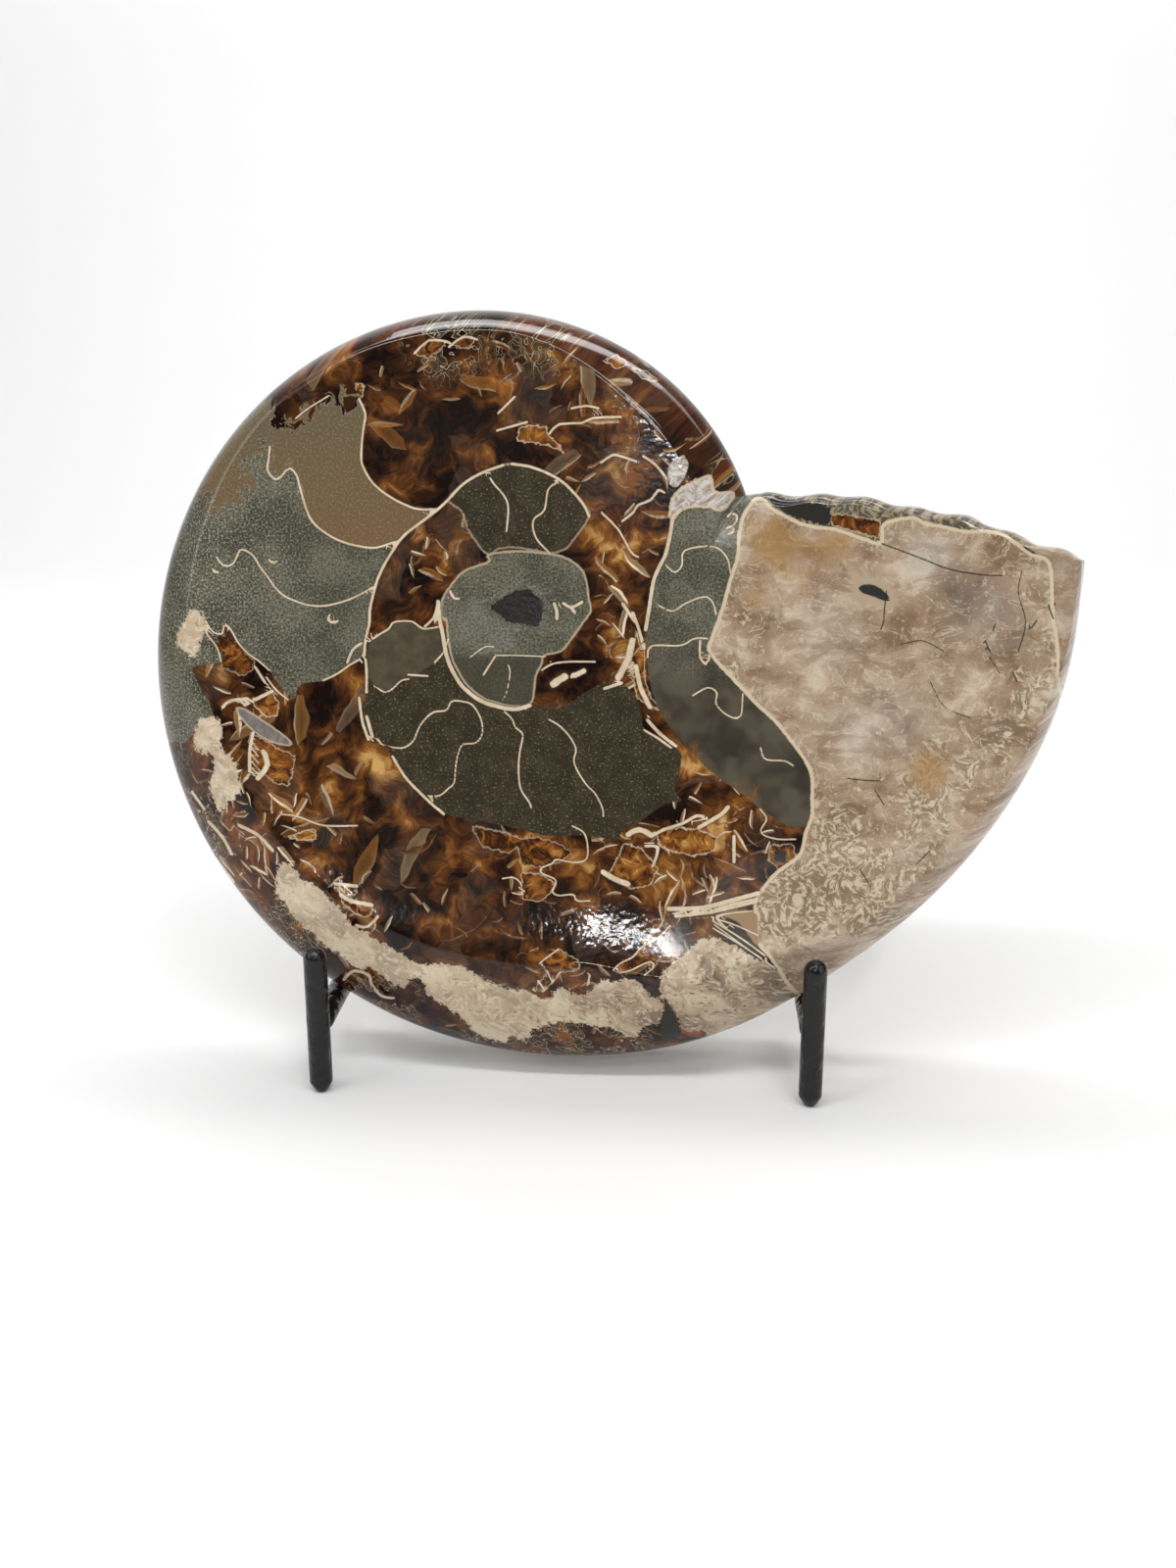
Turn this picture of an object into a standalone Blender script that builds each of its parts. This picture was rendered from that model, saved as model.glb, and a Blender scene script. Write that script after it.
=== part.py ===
# Fossil ammonite, ground flat and polished on both faces, leaning back in a black iron stand.
#
# World frame: +X to the viewer's right, +Y away from the viewer, +Z up, metres.
# The origin is on the floor, under the middle of the whole object.
# The fossil is worked out in its own plane: x across, y up the leaning face, z out of the
# front face, all from the umbilicus, the centre of the coil.

import math

import bmesh
import bpy
import numpy as np
from mathutils import Vector

# Coil of the fossil: the rim is a logarithmic spiral round the umbilicus
NOTCH_RADIUS = 0.0684           # rim radius where the last whorl begins, beside the mouth
NOTCH_ANGLE = math.radians(26.6)
SPIRAL_SWEEP = math.radians(338.2)
WHORL_GROWTH = 0.1312           # radius grows by exp(0.1312 x turn in radians)
CRUSHED_DEPTH = 0.0022          # the last whorl is a little flattened below the mouth
CRUSHED_ANGLE = math.radians(314)
SWOLLEN_HEIGHT = 0.0020         # and a little swollen just before the mouth
SWOLLEN_ANGLE = math.radians(351)
CRUSH_SPREAD = math.radians(14)
MOUTH_BULGE = 0.0050            # the broken mouth bows outward between its two ends

# Section of the fossil, at angles in degrees round the coil from the notch to the mouth
BEVEL_WIDTHS = {26: 0.018, 60: 0.016, 97: 0.0095, 140: 0.008, 183: 0.012,
                224: 0.022, 276: 0.027, 300: 0.017, 320: 0.008, 365: 0.005}
CREASE_HEIGHTS = {26: 0.0128, 97: 0.0140, 183: 0.0155, 276: 0.0178, 365: 0.0180}
BEVEL_EDGE = 0.9                # 1 is a sharp crease between face and bevel, 0 is none
DISH_HEIGHT = 0.0127            # half thickness at the middle of the dished face
DISH_POWER = 4                  # how late the dish rises towards the crease
DISH_MIDDLE = (0.027, -0.021)   # every point of the rim can be seen from here
PIT_DEPTH = 0.0018              # small hollow left at the umbilicus
PIT_RADIUS = 0.0065
MOUTH_BEVEL = 0.0050            # chipped margin along the broken mouth
MOUTH_ROUGHNESS = 0.0008

# Mesh of the fossil
SPOKES = 96
MOUTH_SPOKES = 16
FACE_RINGS = 8
BEVEL_RINGS = 6

# Stand: round iron bar, three feet
BAR_RADIUS = 0.0030
GAP = 0.0003                    # clearance between pieces that touch
POST_Y = -0.0575                # the two front posts stand in line
LEFT_POST_X = -0.0732
RIGHT_POST_X = 0.0542
POST_HEIGHT = 0.0400
FOOT_TIP_HEIGHT = 0.0026        # the posts are blunted to a small flat toe
FOOT_TIP_RADIUS = 0.0015
LEFT_ARM_HEIGHT = 0.0180
RIGHT_ARM_HEIGHT = 0.0189
LEANING_BEND = 0.010            # bend radius from the arm to the leaning bar
TOP_BEND = 0.014
TOP_X = -0.0095                 # the two leaning bars meet side by side here
TOP_LOW = 0.098                 # height where they turn parallel
TOP_HIGH = 0.116                # and where they end
BAR_CLEARANCE_LOW = 0.0218      # from the fossil's middle plane to the bars' axes, at arm height
BAR_CLEARANCE_HIGH = 0.0161     # and at their top
LEG_TOP = 0.108
LEG_BEHIND_BARS = 0.0062
LEG_FOOT_Y = 0.0605
LEG_TOE = 0.0080                # the leg's end is turned down to stand flat
LEG_BEND = 0.008

# Place of the fossil in the stand
LEAN = math.radians(16)         # backward lean of the face from upright
UMBILICUS_X = -0.0254
UMBILICUS_Y = POST_Y + 0.0484
UMBILICUS_Z = 0.1202


def clear_scene():
    for old in list(bpy.data.objects):
        bpy.data.objects.remove(old, do_unlink=True)


def make_collection(name):
    collection = bpy.data.collections.new(name)
    bpy.context.scene.collection.children.link(collection)
    return collection


def make_material(name, colour, roughness, metallic=0.0, coat=0.0):
    material = bpy.data.materials.new(name)
    material.use_nodes = True
    shader = material.node_tree.nodes["Principled BSDF"]
    shader.inputs["Base Color"].default_value = (*colour, 1.0)
    shader.inputs["Roughness"].default_value = roughness
    shader.inputs["Metallic"].default_value = metallic
    shader.inputs["Coat Weight"].default_value = coat
    material.diffuse_color = (*colour, 1.0)
    return material


def eased(stations, degrees):
    # Value between the stations on both sides of each angle, with a level start and end.
    angles = sorted(stations)
    values = np.array([stations[angle] for angle in angles])
    place = np.interp(degrees, angles, np.arange(len(angles)))
    low = np.minimum(place.astype(int), len(angles) - 2)
    share = place - low
    share = (1 - np.cos(math.pi * share)) / 2
    return values[low] * (1 - share) + values[low + 1] * share


def spiral_radius(angle):
    # Rim radius: a logarithmic spiral, with the crushed and the swollen stretch as bell curves.
    radius = NOTCH_RADIUS * np.exp(WHORL_GROWTH * (angle - NOTCH_ANGLE))
    crushed = CRUSHED_DEPTH * np.exp(-((angle - CRUSHED_ANGLE) / CRUSH_SPREAD) ** 2)
    swollen = SWOLLEN_HEIGHT * np.exp(-((angle - SWOLLEN_ANGLE) / CRUSH_SPREAD) ** 2)
    return radius - crushed + swollen


def outline():
    # The rim, counter-clockwise: the spiral from the notch to the corner of the mouth, then
    # the broken mouth back to the notch. Also each spoke's angle and how far it is in the mouth.
    spiral_spokes = SPOKES - MOUTH_SPOKES
    spiral_angles = NOTCH_ANGLE + SPIRAL_SWEEP * np.arange(spiral_spokes + 1) / spiral_spokes
    radii = spiral_radius(spiral_angles)
    rim = np.stack([radii * np.cos(spiral_angles), radii * np.sin(spiral_angles)], axis=1)
    notch, corner = rim[0], rim[-1]
    along = np.arange(1, MOUTH_SPOKES) / MOUTH_SPOKES
    across = np.array([corner[1] - notch[1], notch[0] - corner[0]])
    outward = -across / np.linalg.norm(across)
    chips = MOUTH_ROUGHNESS * np.sin(along * 31.0) * np.sin(along * 13.0)
    bulge = MOUTH_BULGE * np.sin(math.pi * along) + chips
    mouth = corner + np.outer(along, notch - corner) + np.outer(bulge, outward)
    mouth_angles = np.full(MOUTH_SPOKES - 1, spiral_angles[-1])
    rim = np.concatenate([rim, mouth])
    angles = np.concatenate([spiral_angles, mouth_angles])
    in_mouth = np.concatenate([np.zeros(spiral_spokes), [0.5], np.ones(MOUTH_SPOKES - 1)])
    return rim, angles, in_mouth


def crease_heights(angles, in_mouth):
    # Half thickness at the crease. Along the mouth it falls from the corner to the notch.
    heights = eased(CREASE_HEIGHTS, np.degrees(angles))
    mouth_count = int(np.sum(in_mouth == 1))
    fall = np.linspace(CREASE_HEIGHTS[365], CREASE_HEIGHTS[26], mouth_count + 2)[1:-1]
    heights[-mouth_count:] = fall
    return heights


def section(ring, spoke, rim, crease, heights, in_mouth):
    # One point of the section along a spoke: ring 0 is the middle of the face, FACE_RINGS is the
    # crease, and the last ring is the rim, on the middle plane.
    middle = np.array(DISH_MIDDLE)
    if ring <= FACE_RINGS:
        share = math.sin(ring / FACE_RINGS * math.pi / 2)
        place = middle + (crease[spoke] - middle) * share
        height = DISH_HEIGHT + (heights[spoke] - DISH_HEIGHT) * share ** DISH_POWER
        pit = PIT_DEPTH * math.exp(-(place[0] ** 2 + place[1] ** 2) / PIT_RADIUS ** 2)
        return place, height - pit
    out = (ring - FACE_RINGS) / BEVEL_RINGS
    blunt = in_mouth[spoke]
    rounded = 1 - (1 - out) ** 2
    rounded_height = math.sqrt(max(0.0, 1 - BEVEL_EDGE * rounded - (1 - BEVEL_EDGE) * rounded ** 2))
    broken = 1 - (1 - out) ** 3
    broken_height = 1 - out ** 1.4
    reach = rounded * (1 - blunt) + broken * blunt
    height = rounded_height * (1 - blunt) + broken_height * blunt
    place = crease[spoke] + (rim[spoke] - crease[spoke]) * reach
    rough = blunt * MOUTH_ROUGHNESS * math.sin(spoke * 2.3 + ring * 1.7) * min(1.0, 2 * out)
    return place * (1 + rough / np.linalg.norm(place)), heights[spoke] * height


def make_fossil(collection):
    # A sphere whose longitudes become spokes to the rim and whose latitudes become rings.
    rim, angles, in_mouth = outline()
    heights = crease_heights(angles, in_mouth)
    widths = eased(BEVEL_WIDTHS, np.degrees(angles)) * (1 - in_mouth) + MOUTH_BEVEL * in_mouth
    inward = np.array(DISH_MIDDLE) - rim
    inward = inward / np.linalg.norm(inward, axis=1)[:, None]
    crease = rim + inward * widths[:, None]

    rings = FACE_RINGS + BEVEL_RINGS
    ball = bmesh.new()
    bmesh.ops.create_uvsphere(ball, u_segments=SPOKES, v_segments=2 * rings, radius=1.0)
    for vert in ball.verts:
        longitude = math.atan2(vert.co.y, vert.co.x) % (2 * math.pi)
        spoke = round(longitude / (2 * math.pi) * SPOKES) % SPOKES
        latitude = round(math.acos(max(-1.0, min(1.0, vert.co.z))) / math.pi * 2 * rings)
        side = 1 if latitude <= rings else -1
        ring = latitude if side > 0 else 2 * rings - latitude
        place, height = section(ring, spoke, rim, crease, heights, in_mouth)
        vert.co = Vector((place[0], place[1], side * height))
    mesh = bpy.data.meshes.new("fossil_ammonite")
    ball.to_mesh(mesh)
    ball.free()
    mesh.shade_smooth()
    mesh.set_sharp_from_angle(angle=math.radians(40))
    fossil = bpy.data.objects.new("fossil_ammonite", mesh)
    fossil.location = (UMBILICUS_X, UMBILICUS_Y, UMBILICUS_Z)
    fossil.rotation_euler = (math.pi / 2 - LEAN, 0.0, 0.0)
    collection.objects.link(fossil)
    fossil.data.materials.append(make_material("polished_stone", (0.13, 0.075, 0.045), 0.18, coat=0.6))
    return fossil


def middle_plane_y(height):
    # World Y of the fossil's middle plane at a world height.
    return UMBILICUS_Y + (height - UMBILICUS_Z) * math.tan(LEAN)


def bar_plane_y(height):
    # World Y of the leaning bars' axes at a world height.
    low = (LEFT_ARM_HEIGHT + RIGHT_ARM_HEIGHT) / 2
    share = (height - low) / (TOP_HIGH - low)
    clearance = BAR_CLEARANCE_LOW + (BAR_CLEARANCE_HIGH - BAR_CLEARANCE_LOW) * share
    return middle_plane_y(height) + clearance / math.cos(LEAN)


def rounded_route(corners, bends, steps=6):
    # Straight runs between the corners, with an arc of the given bend radius at each inner corner.
    corners = [Vector(corner) for corner in corners]
    route = [corners[0]]
    for before, corner, after, bend in zip(corners, corners[1:], corners[2:], bends):
        back = (before - corner).normalized()
        ahead = (after - corner).normalized()
        half = back.angle(ahead) / 2
        middle = (back + ahead).normalized()
        centre = corner + middle * (bend / math.sin(half))
        start = corner + back * (bend / math.tan(half)) - centre
        end = corner + ahead * (bend / math.tan(half)) - centre
        turn = start.angle(end)
        for step in range(steps + 1):
            share = step / steps
            weight_start = math.sin((1 - share) * turn) / math.sin(turn)
            weight_end = math.sin(share * turn) / math.sin(turn)
            route.append(centre + start * weight_start + end * weight_end)
    route.append(corners[-1])
    return route


def make_bar(name, route, collection, material):
    curve = bpy.data.curves.new(name, "CURVE")
    curve.dimensions = "3D"
    curve.bevel_depth = BAR_RADIUS
    curve.bevel_resolution = 2
    curve.use_fill_caps = True
    spline = curve.splines.new("POLY")
    spline.points.add(len(route) - 1)
    for point, place in zip(spline.points, route):
        point.co = (*place, 1.0)
    curve.materials.append(material)
    bar = bpy.data.objects.new(name, curve)
    collection.objects.link(bar)
    return bar


def make_post(name, x, collection, material):
    # Turned bar: a domed top, a straight side and a blunt toe.
    dome = [math.radians(90 * step / 5) for step in range(6)]
    profile = [(BAR_RADIUS * math.sin(turn), POST_HEIGHT - BAR_RADIUS * (1 - math.cos(turn)))
               for turn in dome]
    profile += [(BAR_RADIUS, FOOT_TIP_HEIGHT), (FOOT_TIP_RADIUS, 0.0), (0.0, 0.0)]
    mesh = bpy.data.meshes.new(name)
    edges = [(index, index + 1) for index in range(len(profile) - 1)]
    mesh.from_pydata([(radius, 0.0, height) for radius, height in profile], edges, [])
    mesh.materials.append(material)
    post = bpy.data.objects.new(name, mesh)
    post.location = (x, POST_Y, 0.0)
    screw = post.modifiers.new("Turn", "SCREW")
    screw.axis = "Z"
    screw.steps = 16
    screw.render_steps = 16
    screw.use_merge_vertices = True
    screw.merge_threshold = 0.00001
    screw.use_smooth_shade = True
    collection.objects.link(post)
    return post


def make_side_bar(name, post_x, arm_height, side, collection, material):
    # One bent bar: the arm straight back from the post under the rim, then the leaning bar up
    # behind the fossil, ending upright beside its twin.
    top_x = TOP_X + side * (BAR_RADIUS + GAP / 2)
    corners = [(post_x, POST_Y + BAR_RADIUS + GAP, arm_height),
               (post_x, bar_plane_y(arm_height), arm_height),
               (top_x, bar_plane_y(TOP_LOW), TOP_LOW),
               (top_x, bar_plane_y(TOP_HIGH), TOP_HIGH)]
    route = rounded_route(corners, (LEANING_BEND, TOP_BEND))
    return make_bar(name, route, collection, material)


def make_rear_leg(collection, material):
    corners = [(TOP_X, bar_plane_y(LEG_TOP) + LEG_BEHIND_BARS, LEG_TOP),
               (TOP_X, LEG_FOOT_Y - BAR_RADIUS, LEG_TOE),
               (TOP_X, LEG_FOOT_Y - BAR_RADIUS, 0.0)]
    return make_bar("rear_leg", rounded_route(corners, (LEG_BEND,)), collection, material)


def main():
    clear_scene()
    parts = make_collection("Fossil ammonite on iron stand")
    make_fossil(parts)
    for name, x in (("front_post_left", LEFT_POST_X), ("front_post_right", RIGHT_POST_X)):
        make_post(name, x, parts, make_material(name + "_iron", (0.017, 0.017, 0.016), 0.42, 0.6))
    for name, x, height, side in (("side_bar_left", LEFT_POST_X, LEFT_ARM_HEIGHT, -1),
                                  ("side_bar_right", RIGHT_POST_X, RIGHT_ARM_HEIGHT, 1)):
        iron = make_material(name + "_iron", (0.017, 0.017, 0.016), 0.42, 0.6)
        make_side_bar(name, x, height, side, parts, iron)
    make_rear_leg(parts, make_material("rear_leg_iron", (0.017, 0.017, 0.016), 0.42, 0.6))


main()
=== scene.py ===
# Visual model of the polished ammonite on its black iron stand.
# Markings are placed in sight coordinates: millimetres right and up from the umbilicus, as the
# front looks from a fixed place before it (see sightOf). Every vertex carries its own in the
# attribute sight. The attribute grain is the same, moved along where the stone falls away past the
# crease, so that noise doesn't smear into streaks there.
import math

import bpy
import numpy as np
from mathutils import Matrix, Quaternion, Vector


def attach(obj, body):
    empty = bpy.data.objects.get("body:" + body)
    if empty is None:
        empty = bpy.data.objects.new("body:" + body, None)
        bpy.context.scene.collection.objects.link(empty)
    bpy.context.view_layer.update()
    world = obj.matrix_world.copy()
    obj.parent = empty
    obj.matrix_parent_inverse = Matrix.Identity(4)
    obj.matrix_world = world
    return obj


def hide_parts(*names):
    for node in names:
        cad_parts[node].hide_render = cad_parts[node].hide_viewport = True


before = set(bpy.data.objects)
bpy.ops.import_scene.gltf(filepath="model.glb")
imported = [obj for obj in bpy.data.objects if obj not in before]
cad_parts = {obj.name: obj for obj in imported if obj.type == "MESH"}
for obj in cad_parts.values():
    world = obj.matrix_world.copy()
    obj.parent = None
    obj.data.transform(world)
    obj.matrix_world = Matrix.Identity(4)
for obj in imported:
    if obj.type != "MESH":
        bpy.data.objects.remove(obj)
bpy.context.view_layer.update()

print("frame loaded", list(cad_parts))

fossil = {
    "umbilicus": (-0.0254, -0.0091, 0.1202),
    "lean": math.radians(16),
    "notchRadius": 0.0684,          # rim radius where the last whorl begins
    "notchAngle": math.radians(26.6),
    "sweep": math.radians(338.2),
    "growth": 0.1312,
    "crushed": (0.0022, math.radians(314)),
    "swollen": (0.0020, math.radians(351)),
    "crushSpread": math.radians(14),
    "mouthBulge": 0.0050,
    "mouthRoughness": 0.0008,
    "mouthBevel": 0.0050,
    "bevelWidths": {26: 0.018, 60: 0.016, 97: 0.0095, 140: 0.008, 183: 0.012,
                    224: 0.022, 276: 0.027, 300: 0.017, 320: 0.008, 365: 0.005},
    "creaseHeights": {26: 0.0128, 97: 0.0140, 183: 0.0155, 276: 0.0178, 365: 0.0180},
    "bevelEdge": 0.9,
    "dishHeight": 0.0127,
    "dishMiddle": (0.027, -0.021),
    "pitDepth": 0.0018,
    "pitRadius": 0.0065,
    "inset": 0.0001,                # keeps the smooth rim inside the faceted one
    "spokes": 96,
    "mouthSpokes": 16,
    "frontRings": 128,
    "creaseRing": 108 / 128,        # share of the rings that lie on the dished face
    "backRings": 64,
    "backFaceRings": 54,            # of them, those on the dished face
    "backEnd": 0.975,               # how far down the bevel the last of them lies
    "backSwing": 4.5,               # millimetres by which the back's pattern is bent
    "grainFall": (0.75, 0.65),      # share of the fall past the crease that moves the grain
}

sight = {
    "eye": (0.0197, -0.4155, 0.1878),
    "tilt": math.radians(74),       # 16 degrees down from level
    "turn": math.radians(3.64),
    "millimetres": 413.95,          # at the umbilicus, for one unit of slope
    "shift": (19.16, -47.90),       # puts the umbilicus at 0, 0
}

iron = {
    "barRadius": 0.0030,
    "gap": 0.0003,
    "postY": -0.0575,
    "postX": {"left": -0.0732, "right": 0.0542},
    "postHeight": 0.0400,
    "toe": [(0.0, 0.00135), (0.0002, 0.0015), (0.0008, 0.0019), (0.0026, 0.002955)],
    "toeGap": 0.0006,               # from the toe's last ring to the first straight one
    "straightRings": 26,
    "domeAngles": (0, 88, 12),      # from, to in degrees and rings of the domed top
    "armHeight": {"left": 0.0180, "right": 0.0189},
    "leaningBend": 0.010,
    "topBend": 0.014,
    "topX": -0.0095,
    "topLow": 0.098,
    "topHigh": 0.116,
    "clearanceLow": 0.0218,
    "clearanceHigh": 0.0161,
    "legTop": 0.108,
    "legBehindBars": 0.0062,
    "legFootY": 0.0605,
    "legToe": 0.0080,
    "legBend": 0.008,
    "barEnd": 0.0012,               # length of the rounding at a bar's ends
    "legEnd": 0.0008,
    "endRadius": 0.72,              # radius at the very end, as a share of the bar's
    "sides": 28,
}

# Filled areas of the pattern, each an outline of points read off in sight millimetres. The first
# six are borders that several outlines and lines share.
tanRight = [(-43, 56.6), (-41.3, 52.7), (-41.7, 49.5), (-42.2, 45.5), (-42.4, 40.3), (-41.8, 38),
    (-39.8, 34.5), (-37.2, 31.9), (-33.8, 29.6), (-30, 27.7), (-26.8, 26.7)]
tanLow = [(-35.5, 17.1), (-39, 16.2), (-43.6, 16.8), (-47.6, 17.9), (-51.1, 19.6), (-54.5, 22.1),
    (-56.5, 24.7), (-58, 28.8), (-59.1, 32.8), (-60, 36), (-61.5, 37.7), (-62.6, 37.5), (-64, 35.8),
    (-65.5, 34.8), (-66.9, 35.7), (-67.9, 37.7), (-67.6, 40.3)]
greenTop = [(-67.5, 44), (-69, 45.5), (-70, 42.6), (-71.3, 40.3), (-73.3, 42), (-73.6, 37.4),
    (-72.4, 34.5), (-74, 32.8), (-74.7, 29.3), (-77, 27.3), (-79, 28.5), (-81.7, 26.2), (-83.4, 27),
    (-85.5, 31), (-100, 40)]
wedgeRim = [(-80.5, -14.8), (-81.6, -10.8), (-84.5, -6.8), (-85, -3.3), (-82.8, -6.5),
    (-80.2, -7.1), (-79.6, -4.5), (-78, -5.7), (-75.7, -9.7), (-73, -12.6), (-70.1, -14.6),
    (-67.2, -17.2)]
chamberTop = [(-40, -9), (-37.2, -7.1), (-34.9, -5.7), (-33.4, -3.9), (-28.6, -3.8), (-25.7, -5.7),
    (-21.1, -5.2)]
discLow = [(3.8, -25.7), (-0.9, -26.8), (-6.1, -25.7), (-9.5, -24.5), (-13.6, -21.1),
    (-15.9, -17.6), (-17.6, -14.1), (-18.8, -8.9)]
body = [(64.9, 29.6), (63.1, 27.7), (61.2, 24.4), (60.1, 18.9), (59.8, 13.7), (57.9, 7.8),
    (55.7, -0.3), (52.8, -8.4), (52, -11.4), (54.6, -15.1), (59.8, -20.6), (64.9, -26.1),
    (70.1, -30.9), (74.5, -36.4), (78.2, -41.6), (80, -46), (80, -51.9), (80, -56.3), (78.2, -61.5),
    (77.5, -65.2), (76.2, -67.7), (71.1, -71.5), (67.9, -74.7), (64.7, -79.9), (64.7, -85),
    (65.3, -90.8), (68.5, -94.6), (70.4, -97.2), (78, -106), (100, -110), (150, -60), (160, -30),
    (148, -24), (146.8, -12.1), (146.1, -6.2), (145.3, -0.3), (144.5, 11.9), (139.4, 14.4),
    (134.9, 17.8), (131.3, 20), (126.8, 20.7), (121, 20.7), (116.5, 21.8), (110.6, 22.9),
    (107.7, 24.4), (102.5, 23.7), (99.2, 22.2), (98.8, 17.4), (94.4, 18.5), (90, 20), (85.6, 21.4),
    (81.1, 21.8), (76.7, 22.9), (72.3, 25.1), (68.6, 27.3), (67.1, 29.2)]
creamBand = [(-64.3, -69.4), (-61.6, -70.1), (-58.7, -73.8), (-56.4, -74.7), (-53.5, -77),
    (-50.6, -79.6), (-47.1, -83.1), (-44.8, -86.5), (-41.4, -88.3), (-37.9, -90.6), (-33.3, -93.5),
    (-29.8, -95.2), (-27, -96.9), (-22.3, -96.9), (-18.3, -97.2), (-14.8, -97.8), (-11.4, -99.8),
    (-7.9, -101.8), (-4.4, -103.3), (-1, -103.9), (1.3, -103.9), (4.2, -105), (7.1, -106.5),
    (9.4, -105.6), (10.6, -103.9), (12.8, -103.6), (16, -105.5), (19.8, -104.9), (21.1, -102.9),
    (23.7, -101.3), (26.9, -101.7), (30.7, -101), (33.9, -102.9), (35.8, -105.5), (38.4, -106.8),
    (40, -108.7), (39, -111.3), (38.4, -113.2), (34.6, -112.9), (33.3, -115.1), (30.1, -116.4),
    (27.5, -114.8), (25, -113.8), (21.1, -113.2), (17.9, -112.9), (12.8, -112.2), (8.3, -113.2),
    (3, -114.8), (3.6, -116), (1.3, -117.1), (-2.1, -116.3), (-3.3, -118), (-7.3, -117.1),
    (-11.4, -115.4), (-13.7, -112.5), (-17.1, -109.6), (-20.6, -107.3), (-24.1, -105),
    (-25.8, -101), (-28.7, -100.4), (-31, -103), (-33.3, -102.1), (-36.8, -99.8), (-40.2, -97.5),
    (-42.5, -98.1), (-46, -95.8), (-48.9, -93.5), (-52.9, -91.2), (-55.2, -88.3), (-58.1, -86.5),
    (-60.4, -83.7), (-63.3, -80.2), (-65.3, -77.9), (-65.2, -73.2)]
creamRight = [(46.1, -94), (39.7, -99.1), (39.1, -105.5), (41, -107.4), (43.5, -111.3),
    (44.2, -114.5), (51.2, -115.1), (60, -122), (82, -110), (75, -103), (70.4, -98.5), (62, -93.5),
    (57, -91.4), (54.4, -90.1), (50, -90.1)]
creamLump = [(-86, -30.2), (-81.4, -30), (-80.5, -32.2), (-80.8, -35.7), (-79.9, -39.1),
    (-77.9, -40.6), (-76.5, -42.6), (-76.2, -45.5), (-75.3, -48.9), (-76.2, -51.2), (-78.8, -53),
    (-80.2, -55.9), (-81.9, -53), (-83.1, -50.7), (-83.4, -47.2), (-82.2, -44.3), (-82.2, -41.4),
    (-83.4, -39.4), (-86.3, -39.1), (-87.4, -36.8), (-87.7, -34.5), (-86.8, -32.2)]
creamBlotch = [(-88.3, -1), (-85.1, -2.2), (-85.4, -6.8), (-86.3, -10.3), (-88, -13.7),
    (-89.2, -12.3), (-91.5, -10.8), (-92.6, -9.1), (-91.7, -6.2), (-90.6, -3.9)]
green = (greenTop + [(-120, 0), (-108, -48), (-94.5, -37), (-91, -37), (-88, -34), (-87, -31),
    (-84, -30), (-83.5, -26.5), (-85, -24), (-87, -20), (-88, -16)] + wedgeRim + [(-64, -22),
    (-60.5, -24.5), (-59.7, -21.8), (-57.4, -20.4), (-52.8, -19.8), (-48.2, -17.2), (-45.3, -14.9),
    (-42.4, -13.7), (-41.5, -11.4), (-40.2, -4.1), (-39.2, 3.4), (-36.1, 11.7), (-33.8, 15.5),
    (-32.6, 17.8)] + tanLow)
tan = (tanRight + [(-22.2, 26.5), (-26.8, 22.7), (-30.9, 19.5), (-32.6, 18.1)] + tanLow + greenTop +
    [(-85, 62), (-68, 56.5), (-66, 50), (-63, 50.5), (-60, 49), (-57, 52), (-54.5, 53), (-52, 56),
    (-49, 57.5), (-48.6, 54.5), (-46.5, 52.8), (-44.5, 54)])
upper = [(19.5, 24.7), (18, 27.9), (15.3, 31.2), (12, 34.3), (7.9, 36.6), (3.2, 38.3), (-1.5, 39),
    (-3.8, 38.7), (-9.6, 36.6), (-14.8, 33.5), (-18.8, 29.3), (-15, 26), (-13, 20.5), (-8.2, 14.4),
    (-5.5, 15.8), (-1.5, 16.4), (5, 15.5), (9.6, 14.8), (13, 16), (14.5, 17.5)]
disc = ([(-20.5, 2), (-17.6, 6.6), (-14.1, 10.1), (-7.8, 12.4), (-7.8, 14.4), (0.3, 15.3),
    (9.5, 14.4), (14.1, 13), (17.6, 10.1), (18.8, 6.6), (19.3, 2.6), (19.9, -0.9), (17.6, -4.3),
    (14.7, -8.4), (11.8, -11.8), (7.2, -13), (6.6, -15.3), (4.9, -18.8)] + discLow + [(-19.3, -3.2),
    (-20.5, -2.6)])
olive = (chamberTop + discLow[::-1] + [(8, -28), (14, -26), (20, -22), (27, -20), (32, -24),
    (33.8, -29.7), (34.3, -32.6), (38.4, -35.5), (44.1, -39), (44.1, -44.1), (43, -49.9),
    (44.8, -52.6), (41, -53), (35.8, -56.2), (32.6, -58.7), (28.8, -60.3), (27.5, -62.6),
    (25.9, -63.2), (18, -61.9), (8, -62), (0, -60), (-10, -58), (-20, -56), (-23.1, -53.5),
    (-25.7, -51), (-30.3, -46.3), (-34, -40.3), (-36.9, -37.1), (-40.4, -36), (-42.1, -31),
    (-41, -23), (-41, -17), (-41.5, -11.4)])
paleChamber = (chamberTop + [(-20.2, -12.3), (-22.5, -14.9), (-29.4, -19.4), (-31.5, -19.8),
    (-34, -22.1), (-36.1, -23), (-38.4, -21.5), (-41, -17)])
innerStrip = ([(44.3, 26.5), (50, 27), (58, 30), (64.9, 29.6)] + body[2:16] + [(80, -56.3),
    (76, -60), (68, -56), (60, -50), (52, -44), (46, -38), (41.8, -33), (38, -27), (36, -20),
    (35, -12), (34.8, -6), (35.8, 0), (36.9, 7), (38.2, 10.4), (40.2, 14.4), (41.6, 20.5),
    (42.3, 24.5)])
quartz = [(41.9, 29.2), (44.9, 32.6), (50.3, 35.3), (52.7, 35.3), (53, 31.9), (55, 31.2),
    (58.4, 31.2), (58.7, 29.9), (55.7, 26.5), (52.4, 27.2), (48.3, 27.5), (44.3, 26.5),
    (42.9, 24.5), (41.6, 24.5)]
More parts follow.
